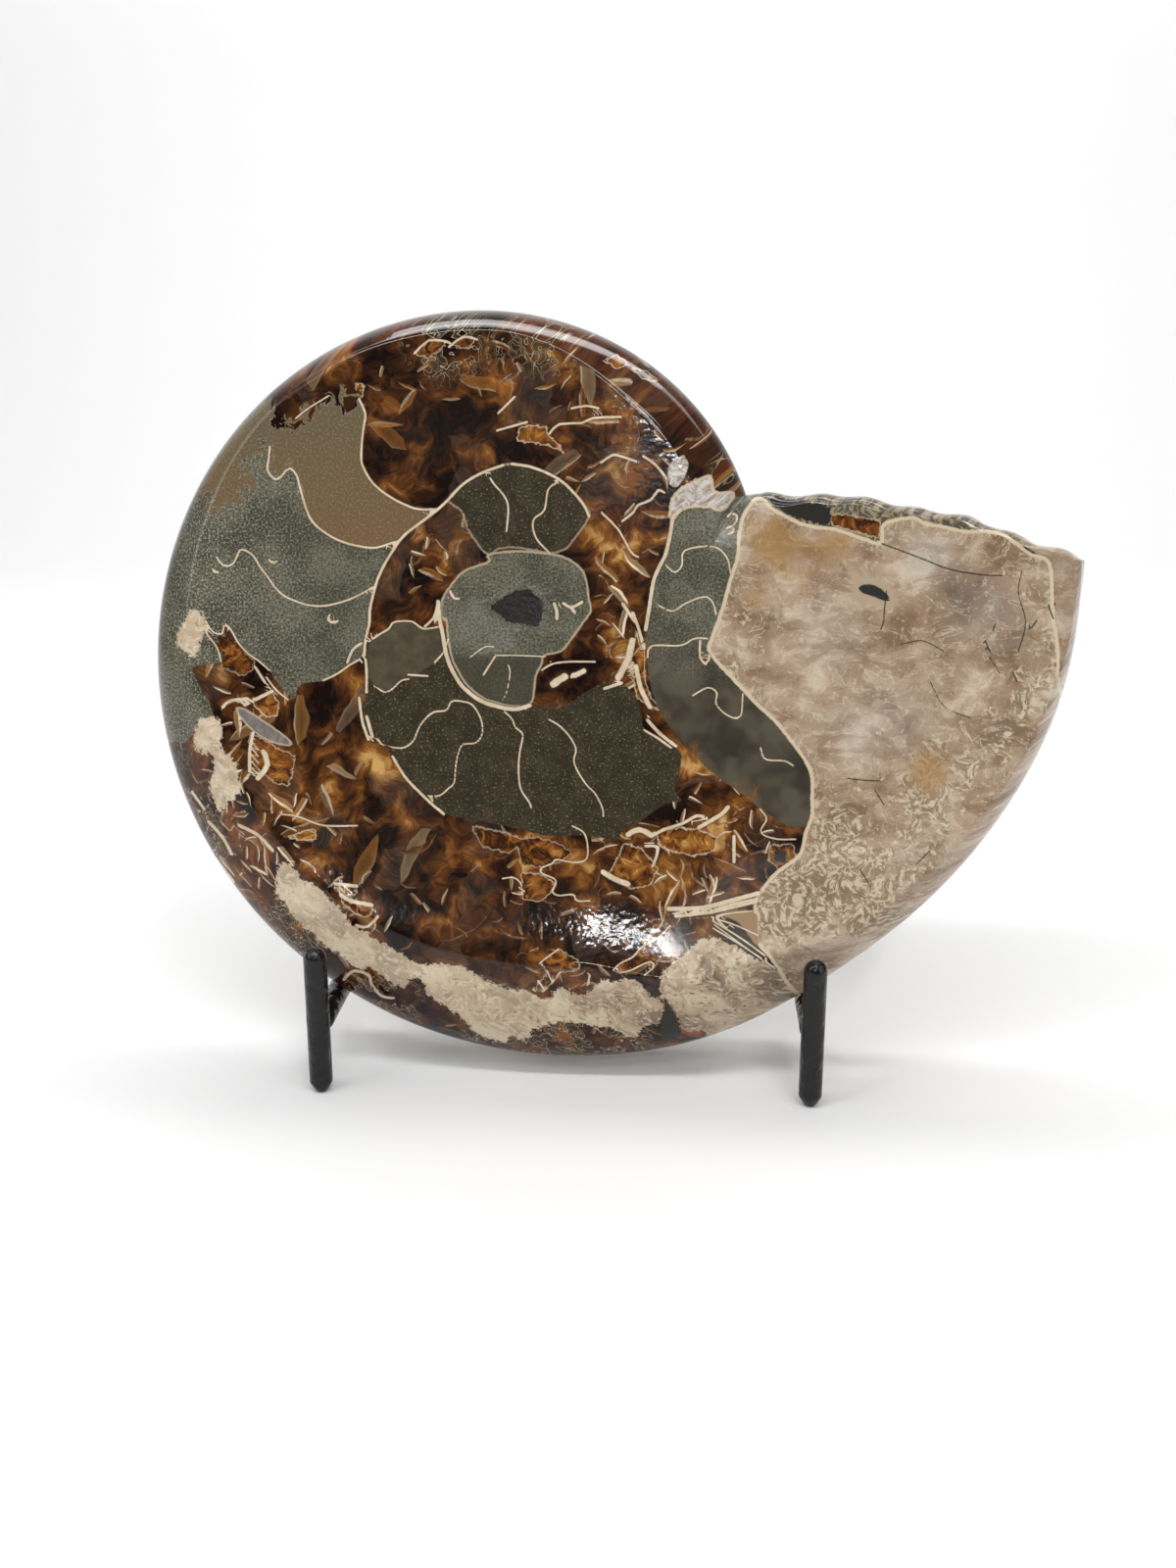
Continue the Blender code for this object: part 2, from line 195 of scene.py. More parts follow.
quartzUpper = [(41.3, 38.7), (45, 41.3), (46.3, 38.7), (45.3, 35.3), (42.9, 32.6), (40.9, 34.6)]
greyShard = [(-76.5, -27.5), (-74.1, -27.6), (-69.5, -30.5), (-66.1, -32.8), (-61.7, -36.2),
    (-62, -37.4), (-65.5, -36.8), (-69.5, -35.1), (-73.6, -31.6)]
pit = [(-7.2, 0), (-4.3, 2.6), (-0.3, 4.6), (3.2, 4.9), (5.5, 2.6), (6.9, 0.3), (6.3, -3.8),
    (4.9, -4.9), (0.9, -4.3), (-2.6, -3.8), (-5.5, -1.4)]
hole = [(92.6, 5.6), (95, 6.4), (98, 5.6), (100.4, 3.6), (101.2, 1.8), (99.4, 1.9), (96, 3.2),
    (93.6, 4)]
holeCollar = [(89.6, 12.4), (93.4, 8.6), (98, 8.2), (102.4, 5), (103.2, 0.6), (99.6, -0.2),
    (95.4, 1.2), (91.6, 2.6), (90.4, 7.4)]
tanLeaf = [(54.4, -83), (64, -82.4), (65.3, -88.2), (65, -92), (60.2, -85.6)]
ambers = {                          # bright translucent patches: outline, how bright, 0 to 1
    "wedge": (wedgeRim[3:9] + [(-71.3, -14.9), (-71.8, -16.6), (-74.7, -18.9), (-77, -17.2),
        (-79.9, -16.6), (-80.5, -14.8), (-81.6, -10.8), (-84.5, -6.8)], 0.62),
    "bright": ([(-71.8, -25), (-66.9, -22.7), (-64.8, -25.9), (-65.2, -29), (-67.8, -29.9),
        (-71.3, -27)], 1.0),
    "orange": ([(-72.7, -34), (-69, -35.7), (-65.5, -38), (-60.3, -40.3), (-61, -43.8),
        (-62, -48.4), (-65.5, -47.8), (-69, -45), (-72.7, -44.3)], 0.8),
    "shardLeft": ([(-48, -78), (-47.1, -81.4), (-44.3, -82.8), (-41.7, -84.2), (-39.4, -83.1),
        (-39.6, -81.1), (-45.4, -80.2)], 0.95),
    "shardLow": ([(-49.5, -75.3), (-43.7, -75.9), (-44, -77.9), (-47, -78)], 0.8),
    "lobeLeft": ([(11.2, -92.7), (5.8, -96.9), (8.2, -98), (7.8, -100), (4, -103), (6.5, -104.5),
        (10.2, -101), (11.8, -98.8), (14.7, -98.8), (18.5, -98.8), (16, -95.4)], 0.72),
    "lobeRight": ([(41.5, -86.3), (38.4, -89.5), (33.9, -92.1), (31.3, -94.9), (28.1, -96.5),
        (25.9, -98.8), (28.1, -99.1), (30.7, -98.5), (35.8, -96.2), (37.1, -97.5),
        (40.6, -92)], 0.66),
    "squiggleUp": ([(0, -63), (5, -62.4), (11, -64), (15, -66.4), (12, -68.8), (6.5, -70.4),
        (1, -70)], 0.66),
    "squiggleLow": ([(1, -72), (6.5, -72.4), (10.4, -75), (9.4, -77), (6, -80), (1.4, -79)], 0.85),
    "debrisGold": ([(38, -60.8), (44, -59.8), (49.6, -60.4), (54, -62.4), (53.6, -66), (48, -67.4),
        (42, -66.2), (38.4, -64.4)], 0.95),
    "debrisCentre": ([(29, -64), (33.6, -65.4), (38, -70.6), (36, -75.4), (30.6, -76.4),
        (24.6, -73.2)], 0.86),
    "hook": ([(68.6, -64.6), (74.8, -64.2), (75.6, -68.6), (71.4, -71.2), (68.2, -68.8)], 0.74),
    "topPatch": ([(0.5, 48.8), (2.6, 49.4), (7.9, 49.1), (8.6, 46.4), (11.3, 44), (12.7, 42),
        (8.6, 44), (4.6, 44.7), (-0.1, 45.4)], 0.92),
    "bevelOne": ([(23.5, 67), (27, 68.6), (30, 66.2), (27.4, 64.8)], 0.85),
    "bevelTwo": ([(31, 65), (35, 64.4), (38, 61.6), (34, 62)], 0.8),
    "leafOne": ([(-28, 69), (-24, 72.6), (-19, 72.2), (-21.6, 69.6), (-24.6, 67.8)], 0.7),
    "leafTwo": ([(-18.6, 70.8), (-14.6, 73.6), (-11, 72.8), (-13.4, 70.4)], 0.72),
    "stripTop": ([(84.6, 25.6), (92, 24.8), (98.4, 23.6), (98.4, 18.6), (92, 20.6),
        (85.6, 22.4)], 0.8),
    "wedgeOrange": ([(-44.2, 61), (-41.6, 60.4), (-42.2, 56.8), (-43.4, 58)], 0.85),
    "wallAmber": ([(32.6, -6.6), (34.6, -12.4), (34.4, -18.2), (36, -24), (39.6, -28.4),
        (35.5, -26.8), (32.4, -24), (31.4, -18.2), (30.8, -12.4)], 0.85),
    "lobe": ([(-43.5, 59), (-46.6, 59.4), (-48.4, 57.2), (-48, 54.8), (-46.5, 53.4), (-44.8, 54.2),
        (-43.4, 56.5)], 0.1),
    "triangle": ([(-62.6, -62.2), (-54.8, -59.9), (-54.8, -63.1), (-59.7, -63.1)], 0.95),
    "olivePocket": ([(-12.6, -59.4), (-5, -60.6), (2.6, -63.2), (-2.4, -66.6), (-9.4, -65)], 0.7),
}
slate = {                           # grey or dark patches over the rest
    "oval": [(70.2, -65.8), (72.4, -66.2), (73.2, -68), (71.6, -69.6), (69.8, -68)],
    "gap": [(39.6, -105.4), (41, -107.4), (43.5, -111.3), (44.2, -116.5), (39.4, -116.8),
        (38.8, -112), (40, -108.7)],
    "wedge": [(55, -85.6), (60, -88), (64.5, -92), (66, -95.5), (62, -93.5), (57.5, -88.5)],
    "mouthCrumb": [(69, 30), (76.7, 29), (84, 27.6), (84.6, 22.4), (76.7, 24.2), (70.4, 27)],
}
mouthEdge = [(64.5, 34), (67.1, 28.6), (72.3, 24.6), (82, 21.4), (94.4, 18), (99, 17.6), (103, 23),
    (107.7, 24), (118, 21), (131, 19.6), (144, 11.6), (146, -4), (147, -16), (149, -26), (165, -26),
    (165, 30), (100, 45), (64.5, 40)]

# Lines of the pattern: half width in millimetres and points. Close neighbours are in two groups,
# because a vertex keeps only the nearest line of a group.
seams = [
    (0.62, upper[:7]),
    (0.62, upper[7:11] + [(-22.2, 26.2), (-26.8, 22.7), (-30.9, 19.5), (-33.8, 15.5), (-36.1, 11.7),
        (-38.1, 7.4), (-39.2, 3.4), (-40.1, -0.7), (-40.2, -4.1), (-41, -7.6), (-41.5, -11.4),
        (-41, -17), (-41, -23)]),
    (0.62, [(-43, -24.4), (-42.1, -31), (-40.4, -36)]),
    (0.5, [(-38.5, -35.2), (-36.9, -37.1)]),
    (0.62, [(-34, -40.3), (-30.3, -46.3), (-25.7, -51), (-23.1, -53.5), (-19.9, -56.1)]),
    (0.5, tanRight + [(-22.2, 26.7)]),
    (0.5, [(-67.2, 43.8)] + tanLow[::-1] + [(-32.6, 18.1)]),
    (0.45, [(-81.8, 13.8), (-80.2, 11.7), (-78.5, 11.3), (-77, 12.3), (-75.6, 15.2), (-74.7, 15.8),
        (-72.7, 14.9), (-71.3, 13.5), (-70.1, 11.4), (-67.8, 8.3), (-65.5, 5.1), (-63.2, 3.1),
        (-60.3, 1.8), (-57.4, 0.8), (-54, 0.4), (-50.5, 0.8), (-46.5, 1.9), (-43, 3.4),
        (-39.5, 5.4)]),
    (0.38, wedgeRim),
    (0.4, [(-68.4, -18.6), (-65.5, -22.4), (-62, -25.2)]),
    (0.45, [(-52.8, -19.8), (-49, -18), (-45.3, -15.4), (-42.4, -13.7), (-41.5, -11.4)]),
    (0.4, [(-7.5, 35.3), (-6.2, 33.3), (-3.8, 30.6), (-2.5, 27.2), (-3, 20.5)]),
    (0.4, [(10.6, 33.9), (8.3, 31.9), (7.3, 26.5), (4.6, 24.2), (4.2, 21.8), (5.3, 18.5),
        (9, 14.5)]),
    (0.3, [(-6.1, -13), (0.3, -13), (7.8, -13.3)]),
    (0.3, [(-2.6, -15.3), (-2, -17.6), (-2.9, -22.8), (-4, -25.1)]),
    (0.3, [(-13, -13.6), (-8.9, -10.7), (-6.1, -10.7)]),
    (0.42, [(-18.8, -8.5), (-20.2, -12.3), (-22.5, -14.9)]),
    (0.42, chamberTop),
    (0.36, paleChamber[13:8:-1]),
    (0.4, [(-34.3, -37.9), (-30.9, -38.1), (-28.3, -36.2), (-27.1, -33.4), (-25.7, -31),
        (-22.8, -28.4), (-19.3, -27.9), (-17.6, -25.3), (-12.7, -25.9)]),
    (0.36, [(-12.7, -25.9), (-11, -28), (-9.6, -31.4), (-9.7, -34.6), (-11.4, -36.8),
        (-14.7, -37.1), (-15.9, -39.1), (-16.7, -42.6), (-17.2, -47.6), (-18.5, -48.9),
        (-21.1, -51), (-24.5, -51.2)]),
    (0.4, [(-3.8, -28), (-1.4, -30.3), (-0.6, -32.6), (1.2, -33.8), (1.4, -35.5), (0.6, -39.5),
        (0.3, -44.1), (0.9, -49.3), (3.2, -52.8), (3.8, -54.5)]),
    (0.36, [(8.4, -30.3), (11.3, -32), (14.1, -34.9), (15.9, -38.4), (15.3, -41.3), (16.2, -44.1),
        (18.8, -48.2), (21.1, -50.5), (23.1, -54.5), (23.3, -56.8)]),
    (0.85, [(44.3, 26.5)] + innerStrip[:-8:-1]),
    (0.4, [(40.6, 11.1), (42.8, 9.6), (44.7, 11.5), (45.4, 15.5), (53.1, 16.6), (56.8, 13.7),
        (57.9, 9.3)]),
    (0.4, [(38.5, 0.5), (42.1, -1), (45.8, 1.2), (50.9, 3), (53.1, 1.2), (53.9, -1.8)]),
    (0.4, [(35.3, -13.6), (36.4, -10.4), (44.3, -10.3), (48, -8.4), (51.7, -8.4)]),
    (0.36, [(47.6, -23.9), (51.7, -21.7), (54.2, -23.2), (53.9, -26.1), (56.8, -29.1),
        (60.5, -29.8), (61.2, -23.2)]),
    (0.36, [(66, -38), (67.3, -41.2), (72.4, -41.6), (75, -43)]),
    (0.5, [(34.3, -33.2), (38, -35.4), (41.8, -38.1)]),
    (0.42, [(6.6, -17), (9.5, -15.3), (14.1, -14.7), (21.1, -14.7)]),
    (0.36, [(14.9, -59.3), (18.1, -61.2), (19.1, -65.2), (18.6, -68.4), (15.2, -69.2),
        (10.6, -68.4), (9.4, -69.5), (6.5, -70.7), (6.5, -72.1), (10, -73.6), (10.4, -75),
        (9.4, -77), (11.1, -78.2), (15.2, -77.9), (16, -79.6), (19.8, -79.6)]),
    (0.32, [(-4.2, -73.6), (-1, -73.3), (1, -75), (0.5, -76.2), (1.9, -77), (1, -77.9),
        (-1.6, -77.4)]),
    (0.4, [(-64.3, -56.1), (-59.7, -56.7), (-53.9, -58.9), (-49.9, -59.3), (-43, -59.2)]),
    (0.36, [(52.5, -84), (58, -83), (64, -82.4)]),
    (0.36, [(52.5, -84), (59.6, -86.4), (65.3, -89)]),
    (0.4, [(53, -85), (61, -90), (67.3, -94.6)]),
    (0.4, [(53, -87), (62, -92.4), (70, -98)]),
    (0.36, ambers["lobeLeft"][0][:10] + [(20.1, -101), (18.5, -103)]),
    (0.36, ambers["lobeRight"][0][:10] + [(34.5, -99.8)]),
    (0.34, [(-60.3, 51.3), (-57.1, 53.9), (-51.1, 57.6)]),
    (0.34, [(65.8, -54.6), (67.7, -57.4), (66.1, -60.3), (67.1, -61.9), (70.9, -62.9),
        (75.7, -62.9)]),
]
slivers = [
    (0.5, [(-41, -29.5), (-39.4, -35)]),
    (0.3, [(-82.8, 10.6), (-82.2, 9.4), (-81.2, 9.6)]),
    (0.3, [(-67.6, 13.2), (-66.6, 12), (-65.4, 12.6)]),
    (0.34, [(-51, -2), (-51.4, -3.4), (-50, -4.2), (-48.8, -3.6)]),
    (0.4, [(-71.3, -16), (-68.5, -20.4)]),
    (0.4, [(-42.4, -9.7), (-44.7, -11.4), (-46.2, -14.9)]),
    (0.5, [(-80, -27), (-78, -25.3), (-73.2, -24.7)]),
    (0.5, [(-74, -26.4), (-66.6, -22.7)]),
    (0.5, [(-71.8, -34), (-72.7, -39), (-72.7, -44.3)]),
    (0.8, [(-69, -39.1), (-67.8, -42.6), (-70.4, -46.3)]),
    (0.3, [(-6.1, -13.3), (-9.2, -18.2)]),
    (0.3, [(-29.7, -18.2), (-24.2, -18.6)]),
    (0.36, [(-25.1, -5.1), (-22.8, -2.8), (-21.6, 0.5)]),
    (0.42, [(-18.2, 4.4), (-17.4, 2.6), (-16, 2.4)]),
    (0.5, [(10, 1), (10.7, -1), (10.7, -3)]),
    (0.42, [(12.5, 1.2), (14.6, 0), (17.5, 1.5)]),
    (0.42, [(14.6, 0), (15.6, -1.5)]),
    (0.6, [(-21.5, 1.6), (-21.3, -2.4), (-20.4, -6.6), (-19.2, -13.4), (-17, -18.4), (-14.4, -22),
        (-9.9, -25.4), (-5.6, -26.8), (-0.7, -27.7), (3.4, -26.6)]),
    (0.36, [(49.6, -9), (49.6, -13.5), (51.4, -15.5), (52.2, -12.8)]),
    (1.1, [(9.8, -20.8), (11.4, -19.6), (12.8, -18.8)]),
    (0.8, [(15.6, -18.4), (18, -17.2)]),
    (1.0, [(27.4, -19), (30, -14), (31.2, -9)]),
    (0.7, [(32.2, -16), (33.5, -22), (36, -27)]),
    (0.45, [(31.4, -1.4), (33, -6), (34.4, -11)]),
    (0.5, [(23.6, -22), (28.4, -20.4)]),
    (0.5, [(35.4, -30.6), (38.4, -34), (43, -37.6)]),
    (0.5, [(28.6, 1), (31.6, -3.4)]),
    (0.5, [(-84, -58), (-80, -62.4), (-77.6, -67)]),
    (0.4, [(-88.4, -50), (-85, -54.8)]),
    (0.5, [(-76, -59), (-70.6, -61.6), (-66.4, -66)]),
    (0.4, [(-72.4, -70), (-68, -72.6)]),
    (0.4, [(-82, -68), (-77, -74.6)]),
    (0.34, [(-5.5, 48.1), (2.6, 50.4)]),
    (0.34, [(8.6, 47.1), (11.3, 49.8), (17.4, 50.1), (20.7, 51.5), (28.1, 51.8)]),
    (0.34, [(14.7, 54.1), (18.7, 54.8), (22.1, 54.1)]),
    (0.34, [(-5.2, 52.8), (-0.8, 57.2)]),
    (0.36, [(22.7, 39.4), (25.8, 41.4), (28.1, 41.1), (32.2, 39.7)]),
    (0.36, [(34.2, 41.1), (37.6, 38.7), (40.6, 34.9)]),
    (0.36, [(28.5, 23.5), (31.5, 25.9), (32.8, 27.9), (36.2, 29.2), (38.2, 31.9), (39.9, 31.2)]),
    (0.3, [(22.7, 25.9), (27.5, 21.1), (30.8, 15.1), (32.8, 13.7)]),
    (0.8, [(23.3, -71.8), (26.6, -73.8), (30, -75)]),
    (0.45, [(36.4, -62.2), (39.6, -60.3), (44.7, -58.7), (48.6, -56.5), (50.5, -56.8)]),
    (0.6, [(49.2, -59.7), (55.3, -56.2), (57.2, -54.2)]),
    (0.42, [(34.8, -64.8), (38.3, -65.1), (36.7, -70.3)]),
    (0.5, [(58.8, -62.2), (58.8, -69)]),
    (0.8, [(30, -61.6), (33, -60.2), (36, -61.6)]),
    (0.6, [(-48, -78), (-45.4, -79.6), (-39.6, -80.8)]),
    (0.5, [(-49.5, -75), (-43.7, -75.6)]),
    (0.45, [(-43.7, -86.3), (-40.8, -86.8), (-37.9, -83.9)]),
    (0.45, [(-47.1, -101), (-44.5, -98.6), (-40.2, -99.8), (-39.9, -102.1)]),
    (0.4, [(-39, -103.3), (-36.8, -105.6), (-33.6, -106)]),
    (0.7, [(41, -81.8), (50, -81.6), (58, -79.6), (65.3, -77.6)]),
    (0.5, [(43, -83.8), (52, -82.8), (60, -81), (65, -79.8)]),
    (0.34, [(-28, 69), (-24, 72.6), (-19, 72.2)]),
    (0.34, [(-18.6, 70.8), (-14.6, 73.6), (-11, 72.8)]),
    (0.34, [(56.8, 24.4), (58, 25.6), (59.6, 25), (59.4, 23.2)]),
    (0.34, [(56.6, 21.4), (58.4, 22.2), (58.6, 20.4), (57, 20)]),
]
cracks = [
    (0.34, [(98.8, 17.4), (104, 15.5), (110.6, 13), (117.3, 10.4), (126.1, 8.9), (132, 8.7)]),
    (0.3, [(100.2, 4.5), (99.6, -1), (99.4, -4), (98.5, -6.2)]),
    (0.3, [(89.3, -46.3), (94, -46.9), (98.8, -47.1)]),
    (0.34, [(-15, 26), (-8, 25), (-5.5, 20.5)]),
    (0.34, [(-2, 29), (1, 20)]),
    (0.3, [(-14, 22), (-9, 19), (-6, 16)]),
    (0.24, [(12, 30), (14.5, 24), (11.8, 18)]),
    (0.26, [(-24.6, -43), (-18.4, -40.6)]),
    (0.24, [(27, -26), (30.4, -33), (27.6, -41)]),
    (0.22, [(112, -20), (116, -27), (123, -30)]),
    (0.22, [(126, -10), (131, -18)]),
    (0.4, [(134.6, -17.6), (135.6, -20)]),
    (0.35, [(130, -4), (129, -6.6)]),
    (0.3, [(127, -9), (128.4, -12)]),
    (0.35, [(141, -3.5), (139.6, -5.5)]),
    (0.35, [(144, 1), (145.5, -3)]),
    (0.3, [(97, -49.5), (99.5, -53.5)]),
    (0.3, [(93, -71), (96, -76)]),
    (0.3, [(112, -66), (108, -70)]),
    (0.25, [(104, -10), (110, -9), (116, -12)]),
    (0.25, [(137, 10), (136, 4), (138, -4), (136, -12)]),
]

# Soft patches: place, radius and amount.
blobs = {
    "glow": [(-40.7, -42.6, 7, 0.75), (-30, -52, 10, 0.3), (-25, 8, 8, 0.25), (5, -75, 10, 0.5),
        (5, -66, 6, 0.35), (48, -64, 9, 0.6), (66, -66, 7, 0.45), (30, -70, 7, 0.4),
        (-58, -44, 7, 0.35), (-50, -52, 8, 0.25), (29, -12.4, 6, 0.75), (22, 28, 8, 0.3),
        (31, 34, 8, 0.32), (14, 46, 9, 0.4), (27, 57, 8, 0.3), (34, 8, 5, 0.3), (24, 12, 7, 0.3),
        (-58, -78, 8, 0.4), (-12, -90, 9, 0.2), (-32, -79, 9, 0.25), (58, -55, 6, 0.4),
        (44, -46, 5, 0.45), (47, -40, 5, 0.4), (40, -30, 4, 0.3), (62, -52, 6, 0.4),
        (-40.7, -42.6, 4, 0.5), (-72, -62, 9, 0.3), (-86, -64, 7, 0.3), (-20, -64, 9, 0.3),
        (-36, 14, 7, 0.15), (26, -6, 5, 0.4), (-52, 66, 10, 0.15), (10, 70, 12, 0.18),
        (-26, 60, 9, 0.1), (38, -78, 9, 0.3), (52, -90, 6, 0.4)],
    "shade": [(-26, 47, 12, 0.5), (-8, 48, 9, 0.4), (14, 58, 9, 0.15), (36, 50, 9, 0.4),
        (-30, -60, 12, 0.5), (-28, -70, 10, 0.4), (-4, -86, 12, 0.4), (22, -86, 12, 0.5),
        (-50, -66, 8, 0.3), (50, 42, 9, 0.4), (-90, -50, 9, 0.3), (-34, 5, 7, 0.3),
        (36, -50, 8, 0.3), (70, -50, 9, 0.2), (-10, -104, 20, -0.15)],
    "debris": [(-72, -38, 16, 1.0), (-62, -62, 14, 0.9), (-46, -84, 12, 0.8), (46, -64, 17, 1.1),
        (30, -66, 12, 0.7), (62, -64, 14, 0.9), (56, -48, 10, 0.7), (28, -12, 9, 1.1),
        (33, -22, 8, 0.8), (25, 2, 9, 0.8), (30, 14, 9, 0.7), (34, 32, 12, 0.6), (-26, 14, 9, 0.7),
        (-20, 20, 8, 0.6), (20, 44, 14, 0.35), (8, 42, 9, 0.45), (-8, 68, 14, 0.5),
        (-34, 62, 12, 0.45), (14, 70, 14, 0.6), (36, 58, 12, 0.4), (50, 44, 12, 0.9),
        (48, -90, 10, 0.7), (-84, -56, 12, 0.7), (-12, -76, 16, 0.35), (-76, -68, 12, 0.9),
        (-88, -54, 8, 0.8), (10, -96, 16, 0.5), (38, -92, 12, 0.5), (-80, -24, 10, 0.6),
        (-30, -88, 10, 0.4), (76, 27, 8, 0.6)],
    "frill": [(-62, -88, 9, 1.0), (-37, -108, 11, 1.0), (-5, -119, 10, 1.0), (22, -118, 14, 1.0),
        (-88, -58, 9, 0.7), (-84, -70, 7, 0.5), (-20, 72, 14, 0.6), (8, 72, 12, 0.6),
        (58, 38, 9, 0.5), (-92, -40, 7, 0.4)],
    "leafy": [(-74, 36, 12, 1.0), (-60, 52, 9, 0.9), (-49, 60, 7, 0.9), (-84, 28, 9, 0.8),
        (-80, -8, 6, 0.3)],
    "crumb": [(112, -47, 9, 1.0), (140, -24, 8, 0.7), (84, -74, 15, 0.9), (70, -82, 9, 0.8),
        (86, -60, 9, 0.45), (68, 10, 6, 0.5), (66, 22, 6, 0.5), (110, -62, 10, 0.5),
        (60, -16, 4, 0.5), (136, 14, 7, 0.4), (90, 12, 6, 0.35), (100, -82, 10, 0.7),
        (148, 2, 4, 0.9), (147, -12, 4, 0.9), (128, -38, 9, 0.5), (62, -2, 5, 0.4)],
    "cloud": [(111.7, 14, 6, 1.0), (86, -8, 9, 0.45), (104, -30, 10, 0.35), (76, 6, 7, 0.3),
        (124, -4, 8, 0.3), (92, -34, 8, 0.4)],
    "rust": [(112, -45, 8, 1.1), (68, 20, 8, 1.0), (76, 9, 12, 0.65), (64, 2, 6, 0.5),
        (88, 18, 7, 0.7), (-1, -42, 2, 0.9), (-3, -46, 2, 0.9), (-6, -51, 2, 0.9),
        (-8, -56, 2.4, 0.9), (62, -19, 4, 0.6), (78, -62, 6, 0.7), (97, -60, 8, 0.3),
        (140, 10, 6, 0.4), (134, -40, 8, 0.4)],
    "dull": [(60, 26, 6, 1.0), (50, -86, 7, 0.6), (64, -80, 12, 0.8), (80, -84, 14, 1.0),
        (98, -78, 12, 0.8), (-9, -6, 7, 1.2)],
    "ripple": [(x, y, 2.4, 0.4) for x, y in ((27, 57.5), (30, 55), (33, 52.3), (36, 49.6),
                                             (39, 46.5), (41.5, 43), (43.3, 39.5), (45, 35.5))]
        + [(10, -88, 8, 0.5), (22, -88, 8, 0.7), (34, -85, 8, 0.5), (-48, -72, 8, 0.3)],
    "smoke": [(120, 5.5, 7, 0.8), (97, 20, 5, 0.4), (130, 0, 8, 0.45), (108, -4, 8, 0.25),
        (136, -10, 8, 0.3), (84, -30, 8, 0.2), (118, -20, 9, 0.25)],
}


def eased(stations, degrees):
    # Value between the stations on both sides, with a level start and end at each station.
    angles = sorted(stations)
    values = np.array([stations[angle] for angle in angles])
    place = np.interp(degrees, angles, np.arange(len(angles)))
    low = np.minimum(place.astype(int), len(angles) - 2)
    share = (1 - np.cos(math.pi * (place - low))) / 2
    return values[low] * (1 - share) + values[low + 1] * share


def coilRim(spoke):
    # Rim at spoke 0 to 96, with the bevel's width, the crease's height and how blunt the bevel is.
    # On the coil: r = 0.0684 exp(0.1312 (angle - notch)), less the crushed and plus the swollen
    # part, both bell curves. In the mouth: a bowed line from corner to notch.
    coil = fossil["spokes"] - fossil["mouthSpokes"]

    def onCoil(angle):
        radius = fossil["notchRadius"] * np.exp(fossil["growth"] * (angle - fossil["notchAngle"]))
        for sign, (size, middle) in ((-1, fossil["crushed"]), (1, fossil["swollen"])):
            radius = radius + sign * size * np.exp(-((angle - middle) / fossil["crushSpread"]) ** 2)
        return np.stack([radius * np.cos(angle), radius * np.sin(angle)], axis=-1)

    angle = fossil["notchAngle"] + fossil["sweep"] * np.minimum(spoke, coil) / coil
    notch = onCoil(np.array(fossil["notchAngle"]))
    corner = onCoil(np.array(fossil["notchAngle"] + fossil["sweep"]))
    along = np.clip((spoke - coil) / fossil["mouthSpokes"], 0, 1)
    across = np.array([corner[1] - notch[1], notch[0] - corner[0]])
    outward = -across / np.linalg.norm(across)
    chips = fossil["mouthRoughness"] * np.sin(along * 31) * np.sin(along * 13)
    bulge = fossil["mouthBulge"] * np.sin(math.pi * along) + chips
    straight = corner + along[..., None] * (notch - corner) + bulge[..., None] * outward
    rim = np.where((spoke > coil)[..., None], straight, onCoil(angle))
    last = fossil["spokes"]
    blunt = np.interp(spoke, [0, coil - 1, coil, coil + 1, last - 1, last], [0, 0, 0.5, 1, 1, 0])
    falling = fossil["creaseHeights"][365] * (1 - along) + fossil["creaseHeights"][26] * along
    height = np.where(spoke > coil, falling, eased(fossil["creaseHeights"], np.degrees(angle)))
    width = eased(fossil["bevelWidths"], np.degrees(angle)) * (1 - blunt) + fossil["mouthBevel"] * blunt
    return rim, width, height, blunt


def stoneSection(spoke, share):
    # Half of the stone. Up to the crease a dish: height = dish + (crease height - dish) s^4 less
    # a bell-shaped pit. Beyond it the bevel: reach = 1 - (1 - out)^2 and
    # height = crease height sqrt(1 - 0.9 reach - 0.1 reach^2); the broken mouth is blunter.
    rim, width, height, blunt = coilRim(spoke)
    middle = np.array(fossil["dishMiddle"])
    inward = middle - rim
    inward = inward / np.linalg.norm(inward, axis=-1)[..., None]
    rim = rim + inward * fossil["inset"]
    crease = rim + inward * width[..., None]
    face = np.clip(share / fossil["creaseRing"], 0, 1)
    out = np.clip((share - fossil["creaseRing"]) / (1 - fossil["creaseRing"]), 0, 1)
    dish = middle + (crease - middle) * face[..., None]
    pitBell = np.exp(-np.sum(dish ** 2, axis=-1) / fossil["pitRadius"] ** 2)
    dishHeight = fossil["dishHeight"] + (height - fossil["dishHeight"]) * face ** 4
    dishHeight = dishHeight - fossil["pitDepth"] * pitBell
    edge = fossil["bevelEdge"]
    rounded = 1 - (1 - out) ** 2
    roundedHeight = np.sqrt(np.maximum(0, 1 - edge * rounded - (1 - edge) * rounded ** 2))
    reach = rounded * (1 - blunt) + (1 - (1 - out) ** 3) * blunt
    bevelHeight = height * (roundedHeight * (1 - blunt) + (1 - out ** 1.4) * blunt)
    bevel = crease + (rim - crease) * reach[..., None]
    rough = blunt * fossil["mouthRoughness"] * np.sin(spoke * 2.3 + out * 10.2) * np.minimum(1, 2 * out)
    rough = np.minimum(rough, 0)
    bevel = bevel * (1 + rough / np.linalg.norm(bevel, axis=-1))[..., None]
    onFace = share <= fossil["creaseRing"]
    place = np.where(onFace[..., None], dish, bevel)
    return place, np.where(onFace, dishHeight, bevelHeight), out


